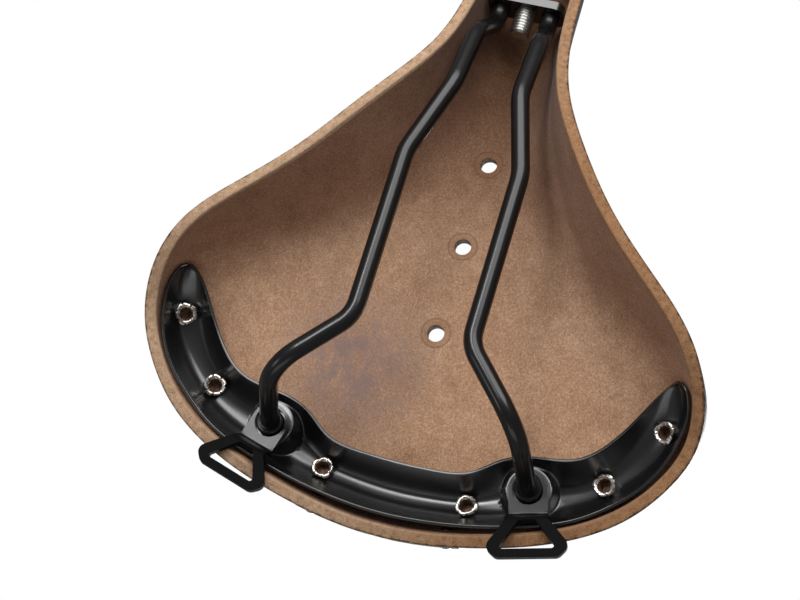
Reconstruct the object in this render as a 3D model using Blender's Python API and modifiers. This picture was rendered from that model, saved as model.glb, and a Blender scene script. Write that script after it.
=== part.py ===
"""Wide unsprung bicycle saddle: a thick leather top stretched between a steel cantle plate at the back
and a steel nose plate, carried on two bent rails, with two bag loops and a tension bolt.

Frame: +X to the nose, +Y to the rider's left, +Z up. The origin is midway between the rails, at the
middle of the straight stretch that a seat post clamps, at the height of the rails' centres.
Shapes are worked out in millimetres and written to the meshes in metres.
"""
import math

import bmesh
import bpy
from mathutils import Matrix, Vector

MM = 0.001
UP = Vector((0, 0, 1))

# Driving dimensions, in millimetres.
LEATHER_THICKNESS = 4.6
CANTLE_THICKNESS = 1.2
NOSE_PLATE_THICKNESS = 1.5
GAP = 0.3
DRILL_REACH = 8.0
PLATE_DRILL_REACH = 4.0
RAIL_RADIUS = 3.5
RAIL_HALF_GAUGE = 22.0
CLAMP_REAR_X = -32.8
CLAMP_FRONT_X = 33.5
VENT_RADIUS = 3.3
VENT_XS = (-20.4, 16.0, 52.0)

# Where each rail ends in the cantle plate: the drawn boss, seen as its flat underside.
BOSS = Vector((-70.2, 50.4, 40.2))
BOSS_FLAT_RADIUS = 8.3
BOSS_OUTER_RADIUS = 11.2

# Tension bolt, M8, along the centre line.
BOLT_RADIUS = 4.0
BOLT_CLEARANCE = 0.35
BOLT_REAR_X = 101.4
BOLT_COLLAR_RADIUS = 6.2
BOLT_SPIGOT_RADIUS = 3.4
BOLT_HEAD_RADIUS = 5.4
BOLT_Z = 28.0
BRIDGE_REAR_X = 111.8
BRIDGE_FRONT_X = 115.0
BRIDGE_HALF_WIDTH = 15.2
RAIL_NOSE_Y = 10.0
NUT_ACROSS_FLATS = 13.0
NUT_LENGTH = 7.0
SHACKLE_WEB_X = 127.8
SHACKLE_STRAP = 3.0
SHACKLE_HALF_WIDTH = 10.2
SHACKLE_TIP_X = 143.4
SHACKLE_HALF_HEIGHT = 4.0

# Height of the leather's outer surface along its spine, as (x, z).
CROWN = ((-50, 50.6), (-30, 46.8), (-10, 45.3), (10, 46.4),
         (40, 48.2), (70, 50.0), (100, 51.4), (134, 51.6))

# The leather's left half, as ribs that run from the spine down to the lower edge, from the centre of
# the back to the tip of the nose: edge x, y, z; spine x; then how far the rib runs out level from the
# spine, how far it rises straight from the edge, and how far it leans in there, each as a fraction.
RIBS = (
    (-101.5, 0.0, 37.0, -50, 0.73, 2.40, 0.30),
    (-98.6, 29.0, 36.4, -48, 0.74, 2.38, 0.26),
    (-92.6, 53.0, 34.6, -44, 0.75, 2.25, 0.22),
    (-84.6, 72.5, 32.8, -39, 0.78, 2.02, 0.16),
    (-73.4, 88.6, 30.6, -33, 0.83, 1.70, 0.09),
    (-60.6, 99.2, 27.3, -27, 0.87, 1.31, 0.03),
    (-44.2, 106.2, 21.0, -19, 0.90, 0.91, -0.02),
    (-27.4, 104.6, 9.5, -10, 0.94, 0.67, -0.05),
    (-12.6, 96.8, 0.5, 0, 0.90, 0.58, 0.00),
    (5.9, 78.7, -4.8, 13, 0.81, 0.57, 0.10),
    (25.5, 58.6, -8.0, 28, 0.70, 0.60, 0.22),
    (45.2, 43.9, -8.6, 45, 0.62, 0.63, 0.29),
    (63.5, 33.5, -3.4, 62, 0.62, 0.63, 0.27),
    (84.2, 26.1, 6.9, 82, 0.70, 0.62, 0.17),
    (110.0, 22.3, 16.0, 106, 0.74, 0.62, 0.08),
    (137.0, 20.0, 22.5, 125, 0.72, 0.66, 0.05),
    (154.0, 12.5, 26.5, 132, 0.66, 0.75, 0.05),
    (160.0, 0.0, 28.0, 134, 0.60, 0.80, 0.05),
)

# The cantle plate's left half, an arched trough that opens downwards, from the centre to the left tip:
# outer rim, inner rim, and the crest of the underside between them.
TROUGH = (
    ((-93.0, 0.0, 33.0), (-73.2, 0.0, 39.2), (-83.0, 0.0, 52.0)),
    ((-92.3, 14.0, 33.0), (-72.8, 12.5, 39.2), (-82.3, 14.0, 51.8)),
    ((-90.3, 28.6, 33.2), (-70.6, 26.5, 39.2), (-80.2, 28.6, 51.2)),
    ((-87.6, 41.0, 33.6), (-63.8, 36.5, 38.8), (-76.5, 41.0, 50.0)),
    ((-84.4, 52.5, 33.5), (-59.5, 47.0, 37.0), (-72.8, 52.5, 48.4)),
    ((-79.0, 67.5, 32.2), (-57.8, 61.0, 34.5), (-67.6, 66.5, 45.9)),
    ((-70.6, 80.3, 30.8), (-53.3, 70.5, 33.0), (-61.8, 77.4, 42.6)),
    ((-61.0, 90.3, 27.8), (-46.8, 76.6, 31.6), (-53.5, 86.8, 39.0)),
    ((-49.3, 97.0, 24.2), (-40.5, 81.0, 30.2), (-44.6, 93.4, 34.8)),
    ((-37.7, 99.8, 21.6), (-34.0, 85.0, 28.0), (-35.5, 96.0, 30.0)),
    ((-30.5, 99.5, 19.6), (-28.3, 88.5, 25.6), (-29.2, 96.2, 25.2)),
    ((-25.6, 97.4, 18.4), (-24.2, 92.0, 22.6), (-24.8, 95.3, 21.6)),
    ((-23.4, 95.0, 19.4), (-23.2, 94.0, 20.2), (-23.3, 94.6, 20.0)),
)
TROUGH_ROUNDNESS = 2.5

# Rear rivets, as (place along the trough, place across it). Shank and hole radii, and each formed end
# as (radius, height) steps: the dome over its seat, and the rolled end under it with the tube's bore.
RIVET_SITES = ((8.6, 0.34), (6.0, 0.5), (2.0, 0.51))
RIVET_SHANK = 2.8
RIVET_HOLE = 3.15
RIVET_DOME = ((0, 1.9), (2.4, 1.7), (4.3, 1.1), (5.5, 0))
RIVET_ROLL = ((2.8, -2.1), (3.6, -2.3), (3.9, -2.8), (3.5, -3.2),
              (2.8, -3.0), (2.45, -2.2), (2.45, 2.5), (0, 2.5))

# Nose rivets, as (place along the edge, place down the rib), all through leather and nose plate.
NOSE_PLATE_START = 0.107
NOSE_PLATE_SPAN = (0.50, 0.92)
NOSE_RIVET_SITES = ((0.918, 0.68), (0.953, 0.69), (1.0, 0.72))
NOSE_RIVET_SHANK = 2.5
NOSE_RIVET_HOLE = 2.85
NOSE_RIVET_DOME = ((0, 1.9), (2.4, 1.7), (4.3, 1.1), (5.2, 0))
NOSE_RIVET_ROLL = ((2.5, 0), (3.3, -0.2), (3.1, -0.8), (2.4, -0.8), (2.1, 1.2), (0, 1.2))

# Left rail's corners and the radius of its bend at each: down out of the boss, along the clamp stretch,
# in towards the nose, up beside the bolt and level through the bridge.
RAIL_HEAD_HEIGHT = 2.6
RAIL_CORNERS = (
    ((BOSS.x, BOSS.y, BOSS.z + RAIL_HEAD_HEIGHT), 0),
    ((BOSS.x, BOSS.y, 36.5), 12),
    ((-58.8, 46.2, 0), 17),
    ((CLAMP_REAR_X, RAIL_HALF_GAUGE, 0), 14),
    ((CLAMP_FRONT_X, RAIL_HALF_GAUGE, 0), 22),
    ((65.5, 12.7, 2.4), 22),
    ((92, 12.4, 11.0), 12),
    ((104.5, RAIL_NOSE_Y, BOLT_Z), 9),
    ((BRIDGE_FRONT_X - 0.4, RAIL_NOSE_Y, BOLT_Z), 0),
)

# Bag loops: a strip riveted under the boss by the rail's collar, folded down round the plate's rim.
LOOP_TOE_OUT = math.radians(16)
LOOP_THICKNESS = 2.3
LOOP_HALF_WIDTH = 7.15
LOOP_FOLD = 8.7
LOOP_STEEP = math.radians(72)
LOOP_FLAT = math.radians(7)
LOOP_DROP_LENGTH = 5.0
LOOP_BEND_RADII = (1.2, 3.4)
LOOP_LENGTH = 23.2
LOOP_BAR_HALF_WIDTH = 14.85
COLLAR_RADIUS = 5.3

SUEDE = ("suede", (0.27, 0.15, 0.09), 0.95, 0.0)
ENAMEL = ("black_enamel", (0.012, 0.012, 0.013), 0.28, 0.0)
BRIGHT = ("bright_nickel", (0.66, 0.63, 0.60), 0.25, 1.0)
STEEL = ("plated_steel", (0.42, 0.42, 0.43), 0.35, 1.0)


def clear_scene():
    for item in list(bpy.data.objects):
        bpy.data.objects.remove(item, do_unlink=True)


def new_collection(name):
    collection = bpy.data.collections.new(name)
    bpy.context.scene.collection.children.link(collection)
    return collection


def new_material(name, look):
    base, colour, roughness, metallic = look
    material = bpy.data.materials.new(name + "_" + base)
    material.use_nodes = True
    shader = material.node_tree.nodes["Principled BSDF"]
    shader.inputs["Base Color"].default_value = (*colour, 1.0)
    shader.inputs["Roughness"].default_value = roughness
    shader.inputs["Metallic"].default_value = metallic
    return material


def add_object(name, mesh, look=None):
    item = bpy.data.objects.new(name, mesh)
    PARTS.objects.link(item)
    if look:
        mesh.materials.append(new_material(name, look))
    return item


def smooth(item, degrees=35):
    item.data.shade_smooth()
    item.data.set_sharp_from_angle(angle=math.radians(degrees))


def mirrored_y(point):
    return Vector((point.x, -point.y, point.z))


# ---- Curves through stations -------------------------------------------------------------------

def through_stations(keys, rows, at):
    """Smooth value at a place along stations, each a row of numbers, by cubic pieces."""
    last = len(keys) - 1
    index = 0
    while index < last - 1 and at > keys[index + 1]:
        index += 1

    def slope(k):
        a, b = max(k - 1, 0), min(k + 1, last)
        return [(rows[b][c] - rows[a][c]) / (keys[b] - keys[a]) for c in range(len(rows[0]))]

    width = keys[index + 1] - keys[index]
    u = (at - keys[index]) / width
    weights = (2 * u ** 3 - 3 * u * u + 1, (u ** 3 - 2 * u * u + u) * width,
               3 * u * u - 2 * u ** 3, (u ** 3 - u * u) * width)
    start, end = slope(index), slope(index + 1)
    return [weights[0] * rows[index][c] + weights[1] * start[c]
            + weights[2] * rows[index + 1][c] + weights[3] * end[c] for c in range(len(rows[0]))]


def crown(x):
    return through_stations([row[0] for row in CROWN], [(row[1],) for row in CROWN], x)[0]


def lengths_along(points):
    total = [0.0]
    for a, b in zip(points, points[1:]):
        total.append(total[-1] + math.dist(a, b))
    return [value / total[-1] for value in total]


def negated_y(row):
    return (row[0], -row[1]) + tuple(row[2:])


RIB_KEYS = lengths_along([rib[:2] for rib in RIBS])
RIB_KEYS = [-RIB_KEYS[1]] + RIB_KEYS + [2 - RIB_KEYS[-2]]
RIB_ROWS = [negated_y(RIBS[1])] + list(RIBS) + [negated_y(RIBS[-2])]


def leather_outer(t, s):
    """Outer surface of the leather: t runs 0 to 1 from the back to the nose, s from spine to edge."""
    ex, ey, ez, sx, run, rise, lean = through_stations(RIB_KEYS, RIB_ROWS, t)
    top = Vector((sx, 0, crown(sx)))
    edge = Vector((ex, ey, ez))
    plan = Vector((ex - sx, ey, 0))
    crown_slope = crown(sx + 0.5) - crown(sx - 0.5)
    shoulder = top + run * plan + Vector((0, 0, run * plan.x * crown_slope))
    skirt = edge - lean * plan + Vector((0, 0, rise * (top.z - ez)))
    r = 1 - s
    return r ** 3 * top + 3 * r * r * s * shoulder + 3 * r * s * s * skirt + s ** 3 * edge


def leather_normal(t, s):
    step = 0.002
    t0, t1 = max(t - step, 0), min(t + step, 1)
    s0, s1 = max(s - step, 0), min(s + step, 1)
    along = leather_outer(t1, s) - leather_outer(t0, s)
    across = leather_outer(t, s1) - leather_outer(t, s0)
    return along.cross(across).normalized()


def leather_offset(t, s, depth):
    """A point below (or, with a negative depth, above) the leather's outer surface."""
    point = leather_outer(t, s) - depth * leather_normal(t, s)
    if t in (0, 1) or s == 0:
        point.y = 0
    return point


def trough_point(rib, w):
    """Underside of the cantle plate: rib counts the trough's stations, w runs 0 to 1, outer to inner."""
    rows = [sum((tuple(p) for p in row), ()) for row in TROUGH]
    first = tuple(-v if c % 3 == 1 else v for c, v in enumerate(rows[1]))
    values = through_stations(range(-1, len(rows)), [first] + rows, rib)
    outer, inner, crest = Vector(values[0:3]), Vector(values[3:6]), Vector(values[6:9])
    chord = inner - outer
    plan = chord.to_2d()
    peak = min(max((crest - outer).to_2d().dot(plan) / plan.length_squared, 0.2), 0.8)
    rise = crest - outer - peak * chord
    from_peak = (w - peak) / (peak if w < peak else 1 - peak)
    return outer + w * chord + (1 - abs(from_peak) ** TROUGH_ROUNDNESS) * rise


def cantle_point(rib, w):
    """The trough with the drawn boss pressed down into it."""
    point = trough_point(rib, w)
    away = math.hypot(point.x - BOSS.x, point.y - BOSS.y)
    u = min(max((away - BOSS_FLAT_RADIUS) / (BOSS_OUTER_RADIUS - BOSS_FLAT_RADIUS), 0), 1)
    blend = u * u * (3 - 2 * u)
    point.z = BOSS.z + blend * (point.z - BOSS.z)
    if rib == 0:
        point.y = 0
    return point


def trough_normal(rib, w):
    step = 0.01
    along = trough_point(rib + step, w) - trough_point(rib - step, w)
    across = trough_point(rib, w + step) - trough_point(rib, w - step)
    return across.cross(along).normalized()


# ---- Building blocks ---------------------------------------------------------------------------

def half_sheet(name, columns, rows, place, look):
    """An open sheet for the left half, with one vertex at place(column, row), in millimetres."""
    bm = bmesh.new()
    bmesh.ops.create_grid(bm, x_segments=len(columns) - 1, y_segments=len(rows) - 1, size=1)
    for vertex in bm.verts:
        column = round((vertex.co.x + 1) / 2 * (len(columns) - 1))
        row = round((vertex.co.y + 1) / 2 * (len(rows) - 1))
        vertex.co = place(columns[column], rows[row]) * MM
    mesh = bpy.data.meshes.new(name)
    bm.to_mesh(mesh)
    bm.free()
    return add_object(name, mesh, look)


def add_mirror(item):
    mirror = item.modifiers.new("Mirror", "MIRROR")
    mirror.use_axis = (False, True, False)
    mirror.merge_threshold = 0.0001


def add_thickness(item, thickness, offset, even=False):
    solidify = item.modifiers.new("Solidify", "SOLIDIFY")
    solidify.thickness = thickness * MM
    solidify.offset = offset
    solidify.use_even_offset = even


def add_boolean(item, tool, operation="DIFFERENCE"):
    boolean = item.modifiers.new(tool.name, "BOOLEAN")
    boolean.operation = operation
    boolean.solver = "EXACT"
    boolean.object = tool


def as_tool(item):
    for collection in list(item.users_collection):
        collection.objects.unlink(item)
    TOOLS.objects.link(item)
    item.hide_render = True
    item.display_type = "WIRE"
    return item


def facing(point, direction):
    """A matrix with its origin at the point and its local Z along the direction."""
    return Matrix.Translation(point * MM) @ direction.to_track_quat("Z", "Y").to_matrix().to_4x4()


def drill(item, point, direction, radius, reach):
    """Cut a round hole along the direction, from reach before the point to reach beyond it."""
    mesh = bpy.data.meshes.new("drill")
    bm = bmesh.new()
    bmesh.ops.create_cone(bm, cap_ends=True, segments=16, radius1=radius * MM, radius2=radius * MM,
                          depth=2 * reach * MM)
    bm.to_mesh(mesh)
    bm.free()
    tool = as_tool(add_object("drill_" + item.name, mesh))
    tool.matrix_world = facing(point, direction)
    add_boolean(item, tool)


def turned(name, profile, matrix, look=None, steps=12):
    """A solid of revolution: the profile gives (radius, height) from the top of the axis downwards."""
    mesh = bpy.data.meshes.new(name)
    bm = bmesh.new()
    corners = [bm.verts.new((radius * MM, 0, height * MM)) for radius, height in profile]
    for a, b in zip(corners, corners[1:]):
        bm.edges.new((a, b))
    bm.to_mesh(mesh)
    bm.free()
    item = add_object(name, mesh, look)
    item.matrix_world = matrix
    screw = item.modifiers.new("Screw", "SCREW")
    screw.steps = steps
    screw.render_steps = steps
    screw.use_merge_vertices = True
    screw.merge_threshold = 0.00001
    screw.use_smooth_shade = True
    return item


def add_loop(curve, points):
    spline = curve.splines.new("POLY")
    spline.points.add(len(points) - 1)
    for corner, point in zip(spline.points, points):
        corner.co = (*(Vector(point) * MM), 1)
    return spline


def to_mesh_object(item, look):
    """Replace a curve object with a mesh object of the same name, with its caps welded."""
    bpy.context.view_layer.update()
    evaluated = item.evaluated_get(bpy.context.evaluated_depsgraph_get())
    mesh = bpy.data.meshes.new_from_object(evaluated)
    place, name = item.matrix_world.copy(), item.name
    bpy.data.objects.remove(item, do_unlink=True)
    bm = bmesh.new()
    bm.from_mesh(mesh)
    bmesh.ops.remove_doubles(bm, verts=bm.verts, dist=0.00001)
    bm.to_mesh(mesh)
    bm.free()
    mesh.name = name
    solid = add_object(name, mesh, look)
    solid.matrix_world = place
    return solid


def flat_outline(name, loops, half_thickness, matrix, look):
    """A flat plate from closed outlines in its own XY plane, the later ones being holes."""
    curve = bpy.data.curves.new(name, "CURVE")
    curve.dimensions = "2D"
    curve.fill_mode = "BOTH"
    curve.extrude = half_thickness * MM
    for points in loops:
        add_loop(curve, [(x, y, 0) for x, y in points]).use_cyclic_u = True
    item = add_object(name, curve)
    item.matrix_world = matrix
    return to_mesh_object(item, look)


def circle(radius, centre=(0, 0), sides=16, start=0.0):
    turns = [start + 2 * math.pi * k / sides for k in range(sides)]
    return [(centre[0] + radius * math.cos(a), centre[1] + radius * math.sin(a)) for a in turns]


def rounded(points, radii, pieces=5, closed=False):
    """The path through the points with each corner turned on an arc of its own radius."""
    points = [Vector(point) for point in points]
    count = len(points)
    path = []
    for k, point in enumerate(points):
        if not closed and k in (0, count - 1):
            path.append(point)
            continue
        back = (points[k - 1] - point).normalized()
        ahead = (points[(k + 1) % count] - point).normalized()
        half = back.angle(ahead) / 2
        centre = point + (back + ahead).normalized() * (radii[k] / math.sin(half))
        start = point + back * (radii[k] / math.tan(half)) - centre
        end = point + ahead * (radii[k] / math.tan(half)) - centre
        sweep = start.angle(end)
        for piece in range(pieces + 1):
            a = sweep * piece / pieces
            path.append(centre + (math.sin(sweep - a) * start + math.sin(a) * end) / math.sin(sweep))
    return path


# ---- Leather -----------------------------------------------------------------------------------

def eased(count, amount):
    """Places from 0 to 1, closer together at both ends."""
    steps = [k / count for k in range(count + 1)]
    return [u - amount * math.sin(2 * math.pi * u) / (2 * math.pi) for u in steps]


def leather_along(origin, direction):
    """Where a line from inside leaves the leather: its height there, and the leather's normal."""
    t_mid, s_mid, reach = 0.5, 0.5, 0.5

    def miss(place):
        offset = leather_outer(*place) - origin
        behind = max(-offset.dot(direction), 0)
        return offset.cross(direction).length + behind

    for _ in range(14):
        spots = [(min(max(t_mid + reach * a / 6, 0), 1), min(max(s_mid + reach * b / 6, 0), 1))
                 for a in range(-6, 7) for b in range(-6, 7)]
        t_mid, s_mid = min(spots, key=miss)
        reach *= 0.5
    return (leather_outer(t_mid, s_mid) - origin).dot(direction), leather_normal(t_mid, s_mid)


def leather_left(t, s):
    return leather_offset(t, s, 0)


def make_leather():
    leather = half_sheet("leather_top", eased(42, 0.4), [k / 12 for k in range(13)], leather_left, SUEDE)
    add_mirror(leather)
    add_thickness(leather, LEATHER_THICKNESS, -1)
    for x in VENT_XS:
        drill(leather, Vector((x, 0, crown(x) - LEATHER_THICKNESS / 2)), UP, VENT_RADIUS, DRILL_REACH)
    smooth(leather)
    return leather


# ---- Cantle plate ------------------------------------------------------------------------------

def make_cantle_plate():
    ribs = [0, 0.7, 1.4, 2, 2.5, 2.9] + [3.1 + 0.2 * k for k in range(10)]
    ribs += [5.2, 5.6, 6, 6.5, 7, 7.5, 8, 8.6, 9.2, 9.8, 10.4, 11, 11.5, 12]
    across = [k / 10 for k in range(11)]
    plate = half_sheet("cantle_plate", across, ribs, lambda w, rib: cantle_point(rib, w), ENAMEL)
    add_mirror(plate)
    add_thickness(plate, CANTLE_THICKNESS, 1)
    for point in (BOSS, mirrored_y(BOSS)):
        drill(plate, point, UP, RAIL_RADIUS + 0.4, PLATE_DRILL_REACH)
    smooth(plate)
    return plate


# ---- Rivets ------------------------------------------------------------------------------------

def tubular_rivet(name, origin, direction, length):
    """Domed head outside, a split tube through the leather and the plate, rolled over inside.

    The origin is on the plate's inner face, and the head's underside is length above it."""
    profile = [(radius, length + height) for radius, height in RIVET_DOME]
    profile.append((RIVET_SHANK, length))
    profile += RIVET_ROLL
    return turned(name, profile, facing(origin, direction), BRIGHT)


def make_rear_rivets(leather, plate):
    left = []
    for site in RIVET_SITES:
        point = trough_point(*site)
        axis = leather_along(point, trough_normal(*site))[1]
        left.append((point, axis, leather_along(point, axis)[0] + GAP))
    right = [(mirrored_y(point), mirrored_y(axis), length) for point, axis, length in reversed(left)]
    for number, (point, axis, length) in enumerate(left + right, 1):
        tubular_rivet("rear_rivet_%d" % number, point, axis, length)
        drill(leather, point, axis, RIVET_HOLE, 2 * LEATHER_THICKNESS + 6)
        drill(plate, point, axis, RIVET_HOLE, PLATE_DRILL_REACH)


# ---- Badge plate at the back -------------------------------------------------------------------

BADGE_THICKNESS = 0.9
BADGE_T = 0.088
BADGE_S = (0.845, 0.965)
BADGE_RIVET = (0.075, 0.925)
BADGE_PIN = 1.4
BADGE_HOLE = 1.75


def make_badge_plate():
    ts = [BADGE_T * k / 6 for k in range(7)]
    ss = [BADGE_S[0] + (BADGE_S[1] - BADGE_S[0]) * k / 4 for k in range(5)]
    badge = half_sheet("badge_plate", ts, ss, lambda t, s: leather_offset(t, s, -GAP), STEEL)
    add_mirror(badge)
    add_thickness(badge, BADGE_THICKNESS, 1)
    smooth(badge)
    return badge


def make_badge_rivets(leather, badge):
    """Small pins through the badge and the leather, with a bead on the inner end."""
    head = BADGE_THICKNESS + 2 * GAP
    inner = -LEATHER_THICKNESS - GAP
    profile = [(0, head + 1.0), (1.5, head + 0.8), (2.4, head), (BADGE_PIN, head), (BADGE_PIN, inner),
               (2.1, inner), (1.8, inner - 0.6), (0, inner - 0.8)]
    point, direction = leather_outer(*BADGE_RIVET), leather_normal(*BADGE_RIVET)
    for side, flip in (("left", lambda v: v), ("right", mirrored_y)):
        turned("badge_rivet_" + side, profile, facing(flip(point), flip(direction)), BRIGHT)
        drill(leather, flip(point), flip(direction), BADGE_HOLE, DRILL_REACH)
        drill(badge, flip(point), flip(direction), BADGE_HOLE, PLATE_DRILL_REACH)


# ---- Rails -------------------------------------------------------------------------------------

def rail_path():
    """Centre line of the left rail, from its riveted top in the cantle plate to the nose bridge."""
    points, radii = zip(*RAIL_CORNERS)
    return rounded(points, radii)


def make_rail(side, flip):
    curve = bpy.data.curves.new("rail_" + side, "CURVE")
    curve.dimensions = "3D"
    curve.bevel_depth = RAIL_RADIUS * MM
    curve.bevel_resolution = 2
    curve.use_fill_caps = True
    curve.render_resolution_u = 0
    add_loop(curve, [flip(point) for point in rail_path()])
    rail = to_mesh_object(add_object("rail_" + side, curve), ENAMEL)
    plate_top = CANTLE_THICKNESS + GAP
    head_top = plate_top + RAIL_HEAD_HEIGHT
    head = [(0, head_top), (3.2, head_top - 0.3), (5.0, head_top - 1.5), (5.0, plate_top), (0, plate_top)]
    collar_top = -GAP
    collar_bottom = -2 * GAP - LOOP_THICKNESS - 1.2
    collar = [(0, collar_top), (COLLAR_RADIUS, collar_top), (COLLAR_RADIUS, collar_bottom + 0.6),
              (COLLAR_RADIUS - 0.7, collar_bottom), (0, collar_bottom)]
    for profile in (head, collar):
        tool = as_tool(turned("join_rail_" + side, profile, Matrix.Translation(flip(BOSS) * MM), steps=16))
        add_boolean(rail, tool, "UNION")
    smooth(rail)
    return rail


# ---- Bag loops ---------------------------------------------------------------------------------

def strip_place(q):
    """Distance out and height of the strip's underside, q along it from where the fold starts."""
    steep, flat = LOOP_STEEP, LOOP_FLAT
    first, second = LOOP_BEND_RADII
    end_first = first * steep
    end_drop = end_first + LOOP_DROP_LENGTH
    end_second = end_drop + second * (steep - flat)
    if q <= 0:
        return q, 0.0
    angle = min(q, end_first) / first
    out, height = first * math.sin(angle), -first * (1 - math.cos(angle))
    dropped = max(min(q, end_drop) - end_first, 0)
    out += dropped * math.cos(steep)
    height -= dropped * math.sin(steep)
    turn = max(min(q, end_second) - end_drop, 0) / second
    out += second * (math.sin(steep) - math.sin(steep - turn))
    height -= second * (math.cos(steep - turn) - math.cos(steep))
    rest = max(q - end_second, 0)
    return out + rest * math.cos(flat), height - rest * math.sin(flat)


def strip_creases():
    """Places along the strip where it starts, continues or stops bending."""
    first = LOOP_BEND_RADII[0] * LOOP_STEEP
    second = LOOP_BEND_RADII[1] * (LOOP_STEEP - LOOP_FLAT)
    start = first + LOOP_DROP_LENGTH
    return [first * k / 2 for k in range(3)] + [start + second * k / 3 for k in range(4)]


def loop_outlines():
    """The strip laid flat: x runs out from the boss's centre, y across."""
    half, fold = LOOP_HALF_WIDTH, LOOP_FOLD
    flare, bar = fold + 8.2, fold + LOOP_LENGTH
    tongue = [(half * math.cos(a), half * math.sin(a)) for a in
              [math.radians(90 + 180 * k / 12) for k in range(13)]]
    corners = [(0, -half, 0), (flare, -half, 0), (bar - 4.2, -LOOP_BAR_HALF_WIDTH - 0.6, 0),
               (bar, -LOOP_BAR_HALF_WIDTH + 3.6, 0)]
    radii = [0, 4, 3.2, 3.2]
    lower = rounded(corners + [(bar, 0, 0)], radii + [0], pieces=4)[1:-1]
    upper = [Vector((p.x, -p.y, 0)) for p in reversed(lower)]
    outer = tongue + [(p.x, p.y) for p in lower + upper]
    top, bottom = fold + 8.9, fold + LOOP_LENGTH - 3.3
    opening = rounded([(top, 2.9, 0), (top, -2.9, 0), (bottom, -10.6, 0), (bottom, 10.6, 0)],
                      [0.8, 0.8, 1.0, 1.0], pieces=2, closed=True)
    return outer, [(p.x, p.y) for p in opening], circle(COLLAR_RADIUS + 0.6)


def make_bag_loop(side, flip_sign):
    bottom = BOSS.z - GAP - LOOP_THICKNESS
    outward = Vector((-math.cos(LOOP_TOE_OUT), flip_sign * math.sin(LOOP_TOE_OUT), 0))
    across = UP.cross(outward)
    centre = Vector((BOSS.x, flip_sign * BOSS.y, bottom))
    loop = flat_outline("bag_loop_" + side, loop_outlines(), 0, Matrix.Identity(4), ENAMEL)
    bm = bmesh.new()
    bm.from_mesh(loop.data)
    for crease in strip_creases():
        parts = bm.verts[:] + bm.edges[:] + bm.faces[:]
        bmesh.ops.bisect_plane(bm, geom=parts, dist=0.000001,
                               plane_co=((LOOP_FOLD + crease) * MM, 0, 0), plane_no=(1, 0, 0))
    for vertex in bm.verts:
        out, height = strip_place(vertex.co.x / MM - LOOP_FOLD)
        place = centre + (LOOP_FOLD + out) * outward + (vertex.co.y / MM) * across
        vertex.co = (place + Vector((0, 0, height))) * MM
    bmesh.ops.recalc_face_normals(bm, faces=bm.faces)
    if sum(face.normal.z for face in bm.faces) < 0:
        bmesh.ops.reverse_faces(bm, faces=bm.faces)
    bm.to_mesh(loop.data)
    bm.free()
    add_thickness(loop, LOOP_THICKNESS, 1, even=True)
    return loop


# ---- Nose mechanism ----------------------------------------------------------------------------

def make_nose_plate():
    start, (top, bottom) = NOSE_PLATE_START, NOSE_PLATE_SPAN
    ts = [1 - start * k / 8 for k in range(8, -1, -1)]
    ss = [top + (bottom - top) * k / 5 for k in range(6)]
    depth = LEATHER_THICKNESS + GAP
    plate = half_sheet("nose_plate", ts, ss, lambda t, s: leather_offset(t, s, depth), ENAMEL)
    add_mirror(plate)
    add_thickness(plate, NOSE_PLATE_THICKNESS, -1)
    smooth(plate)
    return plate


def make_nose_rivets(leather, plate):
    left = [(leather_outer(t, s), leather_normal(t, s)) for t, s in NOSE_RIVET_SITES]
    right = [(mirrored_y(point), mirrored_y(direction)) for point, direction in reversed(left[:2])]
    inner = -LEATHER_THICKNESS - NOSE_PLATE_THICKNESS - 2 * GAP - 0.9
    profile = [(radius, GAP + height) for radius, height in NOSE_RIVET_DOME]
    profile.append((NOSE_RIVET_SHANK, GAP))
    profile += [(radius, inner + height) for radius, height in NOSE_RIVET_ROLL]
    for number, (point, direction) in enumerate(left + right, 1):
        if abs(direction.y) < 0.001 or abs(point.y) < 0.001:
            direction = Vector((direction.x, 0, direction.z)).normalized()
        turned("nose_rivet_%d" % number, profile, facing(point, direction), BRIGHT)
        drill(leather, point, direction, NOSE_RIVET_HOLE, DRILL_REACH)
        drill(plate, point, direction, NOSE_RIVET_HOLE, DRILL_REACH)


def across_bolt(x):
    """Local X across the saddle, local Y up, local Z forward, with the origin on the bolt's axis."""
    axes = Matrix(((0, 0, 1, 0), (1, 0, 0, 0), (0, 1, 0, 0), (0, 0, 0, 1)))
    return Matrix.Translation(Vector((x, 0, BOLT_Z)) * MM) @ axes


def make_rail_bridge():
    half, tall = BRIDGE_HALF_WIDTH, 7.5
    corners = [(-half, -tall, 0), (half, -tall, 0), (half, tall, 0), (-half, tall, 0)]
    outline = [(p.x, p.y) for p in rounded(corners, [4] * 4, pieces=4, closed=True)]
    holes = [circle(RAIL_RADIUS + GAP, (y, 0)) for y in (-RAIL_NOSE_Y, RAIL_NOSE_Y)]
    holes.append(circle(BOLT_RADIUS + BOLT_CLEARANCE))
    middle = (BRIDGE_REAR_X + BRIDGE_FRONT_X) / 2
    half_thickness = (BRIDGE_FRONT_X - BRIDGE_REAR_X) / 2
    return flat_outline("rail_bridge", [outline] + holes, half_thickness, across_bolt(middle), ENAMEL)


def make_tension_nut():
    corner = NUT_ACROSS_FLATS / 2 / math.cos(math.pi / 6)
    middle = BRIDGE_FRONT_X + GAP + NUT_LENGTH / 2
    loops = [circle(corner, sides=6), circle(BOLT_RADIUS + GAP)]
    return flat_outline("tension_nut", loops, NUT_LENGTH / 2, across_bolt(middle), STEEL)


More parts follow.
